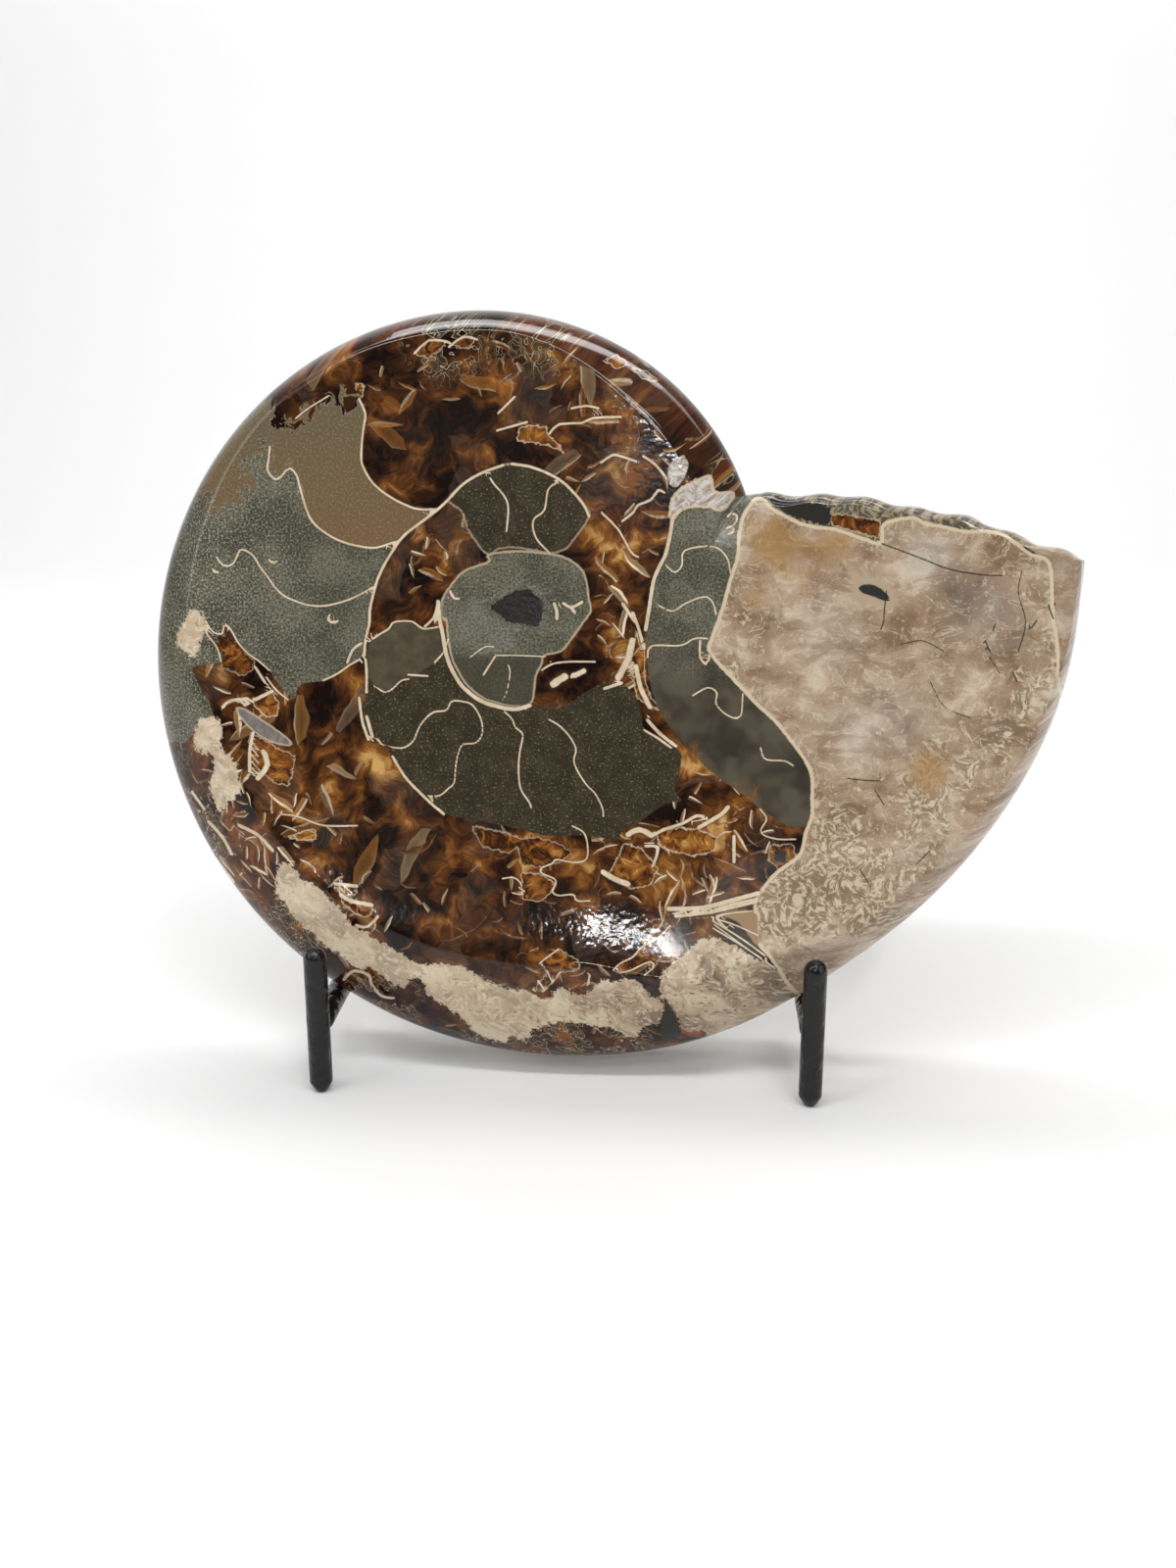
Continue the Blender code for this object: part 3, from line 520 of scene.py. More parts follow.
def toWorld(place, height):
    # From the stone's own plane (across, up, out of the front) to the leaning stone.
    turn = math.pi / 2 - fossil["lean"]
    east, south, top = fossil["umbilicus"]
    y = south + place[:, 1] * math.cos(turn) - height * math.sin(turn)
    z = top + place[:, 1] * math.sin(turn) + height * math.cos(turn)
    return np.stack([place[:, 0] + east, y, z], axis=1)


def sightOf(points):
    # Right and up in millimetres: 413.95 times the slope of the line from the eye, shifted.
    tilt, turn = sight["tilt"], sight["turn"]
    right = np.array([math.cos(turn), math.sin(turn), 0])
    up = np.array([-math.sin(turn) * math.cos(tilt), math.cos(turn) * math.cos(tilt), math.sin(tilt)])
    ahead = np.array([-math.sin(turn) * math.sin(tilt), math.cos(turn) * math.sin(tilt), -math.cos(tilt)])
    line = points - np.array(sight["eye"])
    depth = line @ ahead
    across = sight["millimetres"] * (line @ right) / depth + sight["shift"][0]
    return np.stack([across, sight["millimetres"] * (line @ up) / depth + sight["shift"][1]], axis=1)


def ringGrid(rings):
    # A square grid whose square rings become the stone's rings: ring number, place round the
    # ring as a spoke number, and the quads, counter-clockwise.
    side = np.arange(-rings, rings + 1)
    i, j = [values.ravel() for values in np.meshgrid(side, side, indexing="ij")]
    ring = np.maximum(abs(i), abs(j))
    walk = np.where(j == -ring, 7 * ring + i, 0)
    walk = np.where((i == -ring) & (j > -ring), 5 * ring - j, walk)
    walk = np.where((j == ring) & (i > -ring), 3 * ring - i, walk)
    walk = np.where((i == ring) & (j < ring), ring + j, walk)
    across = 2 * rings + 1
    index = np.arange(across * across).reshape(across, across)
    quads = np.stack([index[:-1, :-1], index[1:, :-1], index[1:, 1:], index[:-1, 1:]], axis=-1)
    outer = np.flatnonzero(ring == rings)
    outer = outer[np.argsort(walk[outer])]
    spoke = fossil["spokes"] * walk / (8 * np.maximum(ring, 1))
    return ring / rings, spoke, quads.reshape(-1, 4), outer


def smoothLine(points, closed, steps=4):
    # Catmull-Rom curve through the points: each piece is a cubic through its two ends.
    points = np.array(points, dtype=float)
    if closed:
        before, after, beyond = np.roll(points, 1, 0), np.roll(points, -1, 0), np.roll(points, -2, 0)
        start = points
    else:
        long = np.concatenate([points[:1] * 2 - points[1:2], points, points[-1:] * 2 - points[-2:-1]])
        before, start, after, beyond = long[:-3], long[1:-2], long[2:-1], long[3:]
    t = (np.arange(steps) / steps)[None, :, None]
    before, start, after, beyond = [part[:, None, :] for part in (before, start, after, beyond)]
    curve = (2 * start + (after - before) * t + (2 * before - 5 * start + 4 * after - beyond) * t ** 2
             + (3 * start - before - 3 * after + beyond) * t ** 3) / 2
    curve = curve.reshape(-1, 2)
    return curve if closed else np.concatenate([curve, points[-1:]])


def nearest(spots, line, closed):
    # Offset from the nearest point of the line to each spot, and the length of that offset.
    ends = np.roll(line, -1, 0) if closed else line[1:]
    starts = line if closed else line[:-1]
    best = np.full(len(spots), 1e9)
    offset = np.zeros((len(spots), 2))
    for start, end in zip(starts, ends):
        run = end - start
        share = np.clip((spots - start) @ run / max(run @ run, 1e-9), 0, 1)
        gap = spots - start - share[:, None] * run
        length = np.sum(gap ** 2, axis=1)
        closer = length < best
        best = np.where(closer, length, best)
        offset = np.where(closer[:, None], gap, offset)
    return offset, np.sqrt(best)


def areaDistance(spots, outline, reach=14.0, steps=4):
    # Distance to the outline in millimetres, above zero inside it and below zero outside.
    line = smoothLine(outline, True, steps)
    result = np.full(len(spots), -reach)
    near = np.all((spots > line.min(0) - reach) & (spots < line.max(0) + reach), axis=1)
    close = spots[near]
    distance = nearest(close, line, True)[1]
    ends = np.roll(line, -1, 0)
    inside = np.zeros(len(close), dtype=bool)
    for (x0, y0), (x1, y1) in zip(line, ends):
        if y0 != y1:
            crosses = (close[:, 1] > min(y0, y1)) & (close[:, 1] <= max(y0, y1))
            inside ^= crosses & (close[:, 0] < x0 + (close[:, 1] - y0) * (x1 - x0) / (y1 - y0))
    result[near] = np.where(inside, distance, np.maximum(-distance, -reach))
    return result


def lineOffsets(spots, lines, steps, thin):
    # Offset to the nearest line of a group, in half widths, and its length as third number.
    result = np.full((len(spots), 3), 30.0)
    for width, points in lines:
        line = smoothLine(points, False, steps)
        near = np.all((spots > line.min(0) - 8) & (spots < line.max(0) + 8), axis=1)
        near = np.flatnonzero(near)
        offset, distance = nearest(spots[near], line, False)
        scaled = np.concatenate([offset, distance[:, None]], axis=1) / (width * thin)
        closer = scaled[:, 2] < result[near, 2]
        result[near[closer]] = scaled[closer]
    return result


def softPatches(spots, patches):
    # Sum of bell curves, each amount exp(-(distance / radius)^2).
    total = np.zeros(len(spots))
    for x, y, radius, amount in patches:
        total += amount * np.exp(-((spots[:, 0] - x) ** 2 + (spots[:, 1] - y) ** 2) / radius ** 2)
    return total


class Wire:
    # A value in a material, so that formulas can be written with ordinary signs.
    def __init__(self, graph, socket):
        self.graph = graph
        self.socket = socket

    def __add__(self, other):
        return self.graph.calc("ADD", self, other)

    def __radd__(self, other):
        return self.graph.calc("ADD", other, self)

    def __sub__(self, other):
        return self.graph.calc("SUBTRACT", self, other)

    def __rsub__(self, other):
        return self.graph.calc("SUBTRACT", other, self)

    def __mul__(self, other):
        return self.graph.calc("MULTIPLY", self, other)

    def __truediv__(self, other):
        return self.graph.calc("DIVIDE", self, other)


class Graph:
    # A material and the few kinds of node that it is made of.
    def __init__(self, name):
        self.material = bpy.data.materials.new(name)
        self.material.use_nodes = True
        self.tree = self.material.node_tree
        self.tree.nodes.clear()

    def node(self, kind, **settings):
        made = self.tree.nodes.new(kind)
        for key, value in settings.items():
            setattr(made, key, value)
        return made

    def put(self, socket, value):
        if isinstance(value, Wire):
            self.tree.links.new(value.socket, socket)
        elif isinstance(value, tuple) and socket.type == "RGBA":
            socket.default_value = (*value, 1.0)
        else:
            socket.default_value = value

    def calc(self, operation, *values, clamp=False):
        made = self.node("ShaderNodeMath", operation=operation, use_clamp=clamp)
        for socket, value in zip(made.inputs, values):
            self.put(socket, value)
        return Wire(self, made.outputs[0])

    def vector(self, operation, first, second=None, scale=None):
        made = self.node("ShaderNodeVectorMath", operation=operation)
        self.put(made.inputs[0], first)
        if second is not None:
            self.put(made.inputs[1], second)
        if scale is not None:
            self.put(made.inputs[3], scale)
        return Wire(self, made.outputs["Value" if operation in ("LENGTH", "DOT_PRODUCT") else "Vector"])

    def split(self, value):
        made = self.node("ShaderNodeSeparateXYZ")
        self.put(made.inputs[0], value)
        return [Wire(self, output) for output in made.outputs]

    def join(self, x, y, z):
        made = self.node("ShaderNodeCombineXYZ")
        for socket, value in zip(made.inputs, (x, y, z)):
            self.put(socket, value)
        return Wire(self, made.outputs[0])

    def edge(self, distance, soft):
        # 0 outside, 1 inside, with a soft step that many millimetres wide
        return self.calc("MULTIPLY_ADD", distance, 1 / soft, 0.5, clamp=True)

    def span(self, value, low, high):
        # 0 at low, 1 at high and level beyond both
        return self.calc("MULTIPLY_ADD", value, 1 / (high - low), -low / (high - low), clamp=True)

    def mix(self, share, first, second):
        made = self.node("ShaderNodeMix", data_type="RGBA")
        self.put(made.inputs[0], share)
        self.put(made.inputs[6], first)
        self.put(made.inputs[7], second)
        return Wire(self, made.outputs[2])

    def value(self, name):
        return Wire(self, self.node("ShaderNodeAttribute", attribute_name=name).outputs["Fac"])

    def triple(self, name):
        return Wire(self, self.node("ShaderNodeAttribute", attribute_name=name).outputs["Vector"])

    def noise(self, place, size, detail=2.0, rough=0.5, bend=0.0, colour=False, kind="2D"):
        made = self.node("ShaderNodeTexNoise", noise_dimensions=kind)
        self.put(made.inputs["Vector"], place)
        made.inputs["Scale"].default_value = 1 / size
        made.inputs["Detail"].default_value = detail
        made.inputs["Roughness"].default_value = rough
        made.inputs["Distortion"].default_value = bend
        return Wire(self, made.outputs[1 if colour else 0])

    def cells(self, place, size):
        made = self.node("ShaderNodeTexVoronoi", voronoi_dimensions="2D")
        self.put(made.inputs["Vector"], place)
        made.inputs["Scale"].default_value = 1 / size
        return {output.name: Wire(self, output) for output in made.outputs}

    def ramp(self, value, stops):
        made = self.node("ShaderNodeValToRGB")
        self.put(made.inputs[0], value)
        while len(made.color_ramp.elements) < len(stops):
            made.color_ramp.elements.new(0.5)
        for element, (place, colour) in zip(made.color_ramp.elements, stops):
            element.position = place
            element.color = (*colour, 1.0)
        return Wire(self, made.outputs[0])

    def surface(self, colour, rough, height=None, **values):
        shader = self.node("ShaderNodeBsdfPrincipled")
        self.put(shader.inputs["Base Color"], colour)
        self.put(shader.inputs["Roughness"], rough)
        for name, value in values.items():
            shader.inputs[name].default_value = value
        if height is not None:
            bump = self.node("ShaderNodeBump")
            bump.inputs["Distance"].default_value = 1.0
            self.put(bump.inputs["Height"], height)
            self.tree.links.new(bump.outputs[0], shader.inputs["Normal"])
        output = self.node("ShaderNodeOutputMaterial")
        self.tree.links.new(shader.outputs[0], output.inputs[0])
        return self.material


def turnedCells(graph, place, cell, seed):
    # Cells of a Voronoi pattern, each turned at random: x and y within the cell, three chances.
    moved = graph.vector("ADD", place, (seed * 37.0, seed * 91.0, 0.0))
    spot = graph.cells(moved, cell)
    chances = graph.split(spot["Color"])
    turned = graph.node("ShaderNodeVectorRotate", rotation_type="Z_AXIS")
    graph.put(turned.inputs["Vector"], graph.vector("SUBTRACT", moved, spot["Position"]))
    graph.put(turned.inputs["Angle"], chances[0] * 6.28)
    x, y, _ = graph.split(Wire(graph, turned.outputs[0]))
    return x, y, chances


def shardLayer(graph, place, cell, length, thick, depth, seed):
    # Curved slivers of shell, one in each cell: the arc |p - c| = R through the cell's point,
    # thick (1 - (x / length)^2) wide, with the shard's body under the arc.
    x, y, (_, tone, chance) = turnedCells(graph, place, cell, seed)
    radius = tone * (cell * 3.0) + cell * 0.5
    lowered = y + radius
    arc = graph.calc("SQRT", x * x + lowered * lowered) - radius
    taper = 1 - (x * x) / (length * length)
    line = taper * thick - graph.calc("ABSOLUTE", arc)
    inside = graph.calc("MINIMUM", 0 - arc, taper * depth + arc)
    return line, inside, chance, tone


def amberColour(graph, warped, shardPlace, zone):
    # Calcite filling: dark brown to gold by cloudy noise, in broken leaves that are streaked
    # along their own length, with slivers of shell.
    cloud = graph.noise(warped, 12, 2, 0.55)
    fine = graph.noise(warped, 3.0, 3, 0.6, 0.8)
    x, y, (_, leafTone, _) = turnedCells(graph, warped, 10.0, 7)
    streak = graph.noise(graph.join(x * 0.14 + leafTone * 40.0, y * 0.85, 0.0), 1.0, 2, 0.65)
    level = cloud * 0.95 + fine * 0.30 + streak * 0.24 + leafTone * 0.08
    level = level + zone["glow"] * 0.30 - zone["shade"] * 0.16 - 0.185
    colour = graph.ramp(level, [(0.44, (0.007, 0.003, 0.002)), (0.57, (0.030, 0.011, 0.004)),
                                (0.69, (0.085, 0.029, 0.008)), (0.83, (0.22, 0.082, 0.016)),
                                (1.0, (0.56, 0.33, 0.11))])
    redder = graph.ramp(level, [(0.44, (0.012, 0.004, 0.003)), (0.57, (0.040, 0.011, 0.005)),
                                (0.69, (0.090, 0.026, 0.009)), (0.83, (0.20, 0.065, 0.014)),
                                (1.0, (0.30, 0.11, 0.02))])
    colour = graph.mix(zone["onBevel"] * 0.85, colour, redder)
    smoky = graph.span(leafTone, 0.80, 0.86) * 0.35 + zone["shade"] * 0.25
    colour = graph.mix(smoky, colour, graph.mix(streak, (0.008, 0.006, 0.005), (0.11, 0.085, 0.065)))
    # each layer: cell, length, thickness, depth, seed, share of cells, more of them in debris, strength
    layers = ((13.0, 9.0, 0.22, 3.6, 4, 0.30, 0.10, 0.5), (8.0, 5.6, 0.34, 1.5, 1, 0.02, 0.44, 1.0),
              (4.2, 2.9, 0.20, 0.7, 2, 0.03, 0.50, 0.9))
    fresh = graph.span(zone["debris"], 0.15, 0.85) * 0.8 + 0.2
    for cell, length, thick, depth, seed, share, more, strength in layers:
        line, inside, chance, tone = shardLayer(graph, shardPlace, cell, length, thick, depth, seed)
        wanted = graph.edge(zone["debris"] * more + share - chance, 0.02) * strength
        fill = graph.ramp(tone, [(0.0, (0.020, 0.008, 0.003)), (0.35, (0.12, 0.040, 0.009)),
                                 (0.6, (0.36, 0.15, 0.028)), (0.85, (0.34, 0.25, 0.14)),
                                 (1.0, (0.09, 0.07, 0.055))])
        filled = graph.edge(inside, 0.3) * graph.span(inside, depth * 1.1, depth * 0.1) * wanted
        colour = graph.mix(filled * 0.8, colour, fill)
        paleness = graph.span(tone + streak, 0.6, 1.3) * fresh
        pale = graph.mix(paleness, (0.12, 0.058, 0.024), (0.76, 0.62, 0.44))
        colour = graph.mix(graph.edge(line, 0.16) * wanted, colour, pale)
    return colour, streak, fine


def creamColour(graph, across, broad, crumb, fine):
    # Crystal crust: pinkish tan, crumbly in places, with pale grains and brown hollows there.
    # Towards the left it is painted paler: painted light.
    colour = graph.ramp(broad, [(0.36, (0.23, 0.17, 0.12)), (0.46, (0.36, 0.255, 0.165)),
                                (0.54, (0.44, 0.335, 0.225)), (0.64, (0.57, 0.47, 0.34))])
    crumbly = graph.span(fine, 0.40, 0.56)
    colour = graph.mix(graph.span(crumb, 0.50, 0.58) * crumbly * 0.7, colour, (0.68, 0.59, 0.44))
    colour = graph.mix(graph.span(crumb, 0.43, 0.35) * crumbly * 0.75, colour, (0.10, 0.065, 0.035))
    # painted light: the crust is made paler towards the left, from across 30 down to -20
    return graph.mix(graph.span(across, 30, -20) * 0.30, colour, (0.84, 0.70, 0.50))


def agateColour(graph, broad, crumb, shardPlace, speck, zone):
    # Body chamber: cloudy pinkish tan with level pale veils and grey smoke.
    x, y, _ = graph.split(shardPlace)
    veil = graph.noise(graph.join(x * 0.55, y * 1.2, 0.0), 7, 4, 0.62, 0.4)
    tone = broad * 0.55 + veil * 0.42 + (speck - 0.5) * 0.10 + 0.02 + zone["cloud"] * 0.10
    colour = graph.ramp(tone, [(0.38, (0.21, 0.135, 0.082)), (0.48, (0.325, 0.225, 0.150)),
                               (0.57, (0.41, 0.30, 0.21)), (0.72, (0.60, 0.49, 0.38))])
    colour = graph.mix(zone["cloud"] * 0.5, colour, (0.40, 0.385, 0.35))
    colour = graph.mix(graph.span(zone["smoke"] * veil, 0.1, 0.6), colour, (0.075, 0.068, 0.058))
    vein = graph.span(graph.calc("ABSOLUTE", veil - 0.54), 0.016, 0.003) * 0.45
    colour = graph.mix(vein, colour, (0.66, 0.57, 0.46))
    darkVein = graph.span(graph.calc("ABSOLUTE", veil - 0.44), 0.010, 0.002) * 0.35
    colour = graph.mix(darkVein, colour, (0.20, 0.135, 0.09))
    return graph.mix(graph.span(crumb, 0.60, 0.68) * 0.35, colour, (0.66, 0.57, 0.44))


polish = {
    "rough": 0.075,                 # roughness of the polished face
    "crumbRough": 0.06,             # and what each kind of place adds to it
    "creamRough": 0.12,
    "hollowRough": 0.6,
    "dullRough": 0.4,
    "bumpSize": 2.4,                # millimetres from one unevenness to the next
    "bump": 0.000018,               # height of the unevenness, and what each place adds
    "creamBump": 0.00005,
    "hollowBump": 0.0016,
    "rippleBump": 0.00007,
    "shader": {"IOR": 1.5, "Specular IOR Level": 0.30},
}


def stoneMaterial():
    # Agate and amber fillings, and over them each area of the pattern, then its lines.
    paleLine = (0.60, 0.49, 0.34)
    lobeSize, lobeEdge, lobeLoop = 7.0, 2.7, 1.2
    graph = Graph("polished stone")
    across, up, _ = graph.split(graph.triple("sight"))
    place = graph.triple("grain")
    wobble = graph.vector("SUBTRACT", graph.noise(place, 8, 1.5, 0.6, colour=True), (0.5, 0.5, 0.5))
    warped = graph.vector("ADD", place, graph.vector("SCALE", wobble, scale=7.0))
    shardPlace = graph.vector("ADD", place, graph.vector("SCALE", wobble, scale=2.2))
    zone = {name: graph.value(name) for name in blobs}
    zone["onBevel"] = graph.value("onBevel")
    ragged = (graph.noise(place, 1.5, 2, 0.65) - 0.5) * 1.6
    speck = graph.noise(place, 0.6, 1, 0.7)
    mottle = graph.noise(place, 5, 3, 0.65)
    broad = graph.noise(warped, 14, 2, 0.6)
    crumb = graph.noise(warped, 1.6, 3, 0.7, 0.3)

    colour, streak, fine = amberColour(graph, warped, shardPlace, zone)
    lace = (fine - 0.5) * zone["leafy"] * 22.0
    cream = creamColour(graph, across, broad, crumb, fine)
    agate = agateColour(graph, broad, crumb, shardPlace, speck, zone)

    lobes = graph.cells(place, lobeSize)["Distance"] * lobeSize
    lobes = lobes + (graph.noise(place, 2.0, 0.5, 0.4) - 0.5) * 8.0
    shown = graph.span(zone["frill"], 0.25, 0.5)
    colour = graph.mix(graph.edge(lobeEdge - lobes, 0.3) * shown * 0.75, colour, (0.034, 0.026, 0.014))
    drawn = graph.edge(0.20 - graph.calc("ABSOLUTE", lobes - lobeEdge), 0.2)
    innerLoop = graph.edge(0.14 - graph.calc("ABSOLUTE", lobes - lobeLoop), 0.2) * 0.7
    drawn = graph.calc("MAXIMUM", drawn, innerLoop) * shown
    colour = graph.mix(drawn * 0.9, colour, (0.42, 0.34, 0.23))

    crust = graph.mix(graph.span(crumb, 0.46, 0.56), (0.085, 0.075, 0.055), (0.33, 0.265, 0.175))
    crust = graph.mix(graph.span(across, 124, 142) * 0.8, crust, agate)
    colour = graph.mix(graph.edge(graph.value("mouthEdge") + ragged, 0.5) * 0.9, colour, crust)

    inside = graph.value("amber") + ragged * 0.9
    bright = graph.value("amberBright")
    tone = streak * 0.4 + fine * 0.9 + bright * 0.36 + graph.span(inside, 0.0, 3.0) * 0.14 - 0.38
    fill = graph.ramp(tone, [(0.48, (0.035, 0.013, 0.005)), (0.64, (0.17, 0.055, 0.011)),
                             (0.82, (0.36, 0.155, 0.032)), (0.98, (0.62, 0.42, 0.16))])
    colour = graph.mix(graph.edge(inside, 0.35), colour, fill)
    rim = graph.edge(0.18 - graph.calc("ABSOLUTE", inside), 0.2) * (bright * 1.2 - 0.4)
    colour = graph.mix(rim, colour, (0.60, 0.48, 0.32))

    def lay(name, fill, ragging=0.5, soft=0.35, outline=0.0, wide=0.4):
        # one area of the pattern over the rest, with a ragged border and a pale outline
        nonlocal colour
        inside = graph.value(name) + ragged * ragging
        if name in ("tan", "green"):
            inside = inside + (lace if name == "tan" else 0 - lace)
        colour = graph.mix(graph.edge(inside, soft), colour, fill)
        if outline:
            rim = graph.edge(wide - graph.calc("ABSOLUTE", inside), 0.25) * outline
            colour = graph.mix(rim, colour, paleLine)
        return inside

    gloom = graph.span(speck, 0.44, 0.34)
    stoneGrey = graph.mix(graph.span(broad, 0.38, 0.62), (0.074, 0.072, 0.050), (0.132, 0.125, 0.088))
    light = graph.span(speck, 0.56, 0.68) * (graph.span(across, -50, -85) * 0.45 + 0.3)
    stoneGrey = graph.mix(light, stoneGrey, (0.36, 0.35, 0.28))
    stoneGrey = graph.mix(gloom * 0.7, stoneGrey, (0.028, 0.027, 0.018))
    lay("green", stoneGrey, 0.35)
    mud = graph.mix(graph.span(mottle, 0.4, 0.65), (0.036, 0.029, 0.017), (0.054, 0.044, 0.026))
    mud = graph.mix(graph.span(speck, 0.68, 0.74) * 0.7, mud, (0.26, 0.21, 0.13))
    mud = graph.mix(gloom * 0.5, mud, (0.018, 0.014, 0.008))
    trail = graph.span(zone["rust"] * crumb, 0.30, 0.45)
    lay("olive", graph.mix(trail * 0.8, mud, (0.10, 0.058, 0.028)), 0.35)
    lay("upper", mud, 0.35, outline=0.4, wide=0.25)
    pale = graph.mix(graph.span(mottle, 0.35, 0.7), (0.062, 0.050, 0.032), (0.095, 0.078, 0.050))
    lay("paleChamber", pale, 0.15)
    slateFill = graph.mix(graph.span(broad, 0.36, 0.64), (0.038, 0.033, 0.024), (0.092, 0.077, 0.055))
    deep = graph.mix(graph.span(up, -4, -24), stoneGrey, slateFill)
    warm = graph.span(zone["glow"] + fine, 0.78, 1.10)
    deep = graph.mix(warm * 0.75, deep, graph.mix(streak, (0.05, 0.018, 0.006), (0.36, 0.15, 0.03)))
    lay("strip", deep, 0.3)
    discFill = graph.mix(graph.span(up, -12, -14) * 0.75, stoneGrey, (0.050, 0.044, 0.028))
    lay("disc", discFill, 0.2, outline=0.6, wide=0.28)
    chalk = graph.mix(graph.span(up, 20, 52), (0.160, 0.098, 0.048), (0.125, 0.098, 0.056))
    chalk = graph.mix(graph.span(speck, 0.5, 0.75) * 0.4, chalk, (0.30, 0.24, 0.16))
    lay("tan", chalk, 0.2, outline=0.3, wide=0.22)
    lay("cream", cream, 1.9, outline=0.5, wide=0.25)
    inBody = lay("body", agate, 0.3)
    crumbShare = graph.span(zone["crumb"] + mottle * 2.4 - 1.2, 0.35, 0.65)
    edgeCrumb = graph.span(inBody, 4.5, 0.5) * graph.span(crumb, 0.40, 0.62) * 0.8
    crumbShare = graph.calc("MAXIMUM", crumbShare, edgeCrumb) * graph.edge(inBody, 0.4)
    grains = graph.mix(graph.span(crumb, 0.47, 0.57), (0.20, 0.135, 0.07), (0.60, 0.51, 0.37))
    colour = graph.mix(crumbShare * 0.7, colour, grains)
    rusty = graph.span(zone["rust"] * (mottle + crumb), 0.45, 0.95) * graph.edge(inBody, 0.4)
    colour = graph.mix(rusty * 0.75, colour, (0.34, 0.195, 0.065))
    outline = graph.edge(0.48 - graph.calc("ABSOLUTE", inBody), 0.25)
    colour = graph.mix(outline, colour, paleLine)
    lay("holeCollar", (0.42, 0.325, 0.225), 0.9, 1.6)
    # painted shade: the hole isn't cut in the mesh; this flat dark grey patch stands in for the shade
    # inside it
    lay("hole", (0.03, 0.03, 0.03), 0.2)
    lay("tanLeaf", (0.30, 0.19, 0.10), 0.3)
    glass = graph.mix(graph.span(crumb, 0.38, 0.62), (0.30, 0.23, 0.18), (0.60, 0.56, 0.53))
    lay("quartz", glass, 0.6, outline=0.8)
    lay("quartzUpper", glass, 0.5)
    shell = graph.mix(streak, (0.08, 0.06, 0.05), (0.28, 0.25, 0.23))
    lay("greyShard", shell, 0.25, outline=0.6, wide=0.25)
    lay("slate", (0.026, 0.025, 0.020), 1.5)
    # painted shade: the pit is painted near black for the shade inside the crater, deeper than the
    # shallow dent in the mesh
    dark = graph.mix(graph.span(speck, 0.4, 0.7), (0.008, 0.008, 0.007), (0.030, 0.028, 0.022))
    lay("pit", dark, 0.9)

    def draw(name, ragging, width, soft, reach):
        # 1 on the lines of a group and 0 beside them, with a ragged border width half widths off
        x, y, distance = graph.split(graph.triple(name))
        length = graph.calc("SQRT", x * x + y * y) + ragged * ragging
        return graph.edge(width - length, soft) * graph.edge(reach - distance, 0.4)

    lineColour = graph.mix(mottle, (0.44, 0.31, 0.17), (0.86, 0.75, 0.58))
    for name in ("seams", "slivers"):
        shadow = draw(name, 0.35, 1.9, 0.6, 4.0)
        colour = graph.mix(shadow * 0.35, colour, (0.05, 0.03, 0.015))
        colour = graph.mix(draw(name, 0.35, 1.0, 0.35, 3.4) * 0.95, colour, lineColour)
    colour = graph.mix(draw("cracks", 0.6, 1.0, 0.5, 4.0) * 0.85, colour, (0.03, 0.025, 0.02))

    hollow = graph.edge(graph.value("pit") + 1.4, 2.2)
    inCream = graph.edge(graph.value("cream"), 1.0)
    rough = polish["rough"] + crumbShare * polish["crumbRough"] + inCream * polish["creamRough"]
    rough = rough + hollow * polish["hollowRough"] + zone["dull"] * polish["dullRough"]
    uneven = graph.noise(place, polish["bumpSize"], 1.5, 0.6)
    amount = inCream * polish["creamBump"] + hollow * polish["hollowBump"]
    amount = amount + zone["ripple"] * polish["rippleBump"] + polish["bump"]
    return graph.surface(colour, rough, (uneven - 0.5) * amount, **polish["shader"])


coat = {
    "hammerSize": 0.005,            # metres from one hammer mark to the next
    "hammerDepth": 0.0011,
    "gritSize": 0.0007,
    "gritDepth": 0.00004,
    "wornSize": 0.003,
    "black": (0.005, 0.005, 0.005),
    "worn": (0.018, 0.017, 0.016),
    "rough": 0.25,
    "specular": 0.36,
}


def ironMaterial():
    # Hammered black iron: a slow bump for the hammer, a fine one for the coat, worn in places.
    graph = Graph("black iron")
    place = Wire(graph, graph.node("ShaderNodeTexCoord").outputs["Object"])
    hammer = graph.noise(place, coat["hammerSize"], 2, 0.5, kind="3D")
    grit = graph.noise(place, coat["gritSize"], 2, 0.6, kind="3D")
    worn = graph.span(graph.noise(place, coat["wornSize"], 3, 0.6, kind="3D"), 0.58, 0.72)
    colour = graph.mix(worn * 0.5, coat["black"], coat["worn"])
    height = (hammer - 0.5) * coat["hammerDepth"] + (grit - 0.5) * coat["gritDepth"]
    rough = coat["rough"] + worn * 0.12 + (grit - 0.5) * 0.1
    return graph.surface(colour, rough, height, **{"Specular IOR Level": coat["specular"]})


def makeMesh(name, vertices, faces, material):
    # A smooth-shaded object at the origin.
    mesh = bpy.data.meshes.new(name)
    mesh.from_pydata(vertices.tolist(), [], faces)
    mesh.materials.append(material)
    mesh.polygons.foreach_set("use_smooth", np.ones(len(mesh.polygons), dtype=bool))
    mesh.update()
    made = bpy.data.objects.new(name, mesh)
    bpy.context.scene.collection.objects.link(made)
    return made


def store(mesh, name, values):
    # One number or three for each vertex, which the material reads by name.
    kind = "FLOAT_VECTOR" if values.ndim == 2 else "FLOAT"
    layer = mesh.attributes.new(name, kind, "POINT")
    layer.data.foreach_set("vector" if values.ndim == 2 else "value", values.astype(np.float32).ravel())


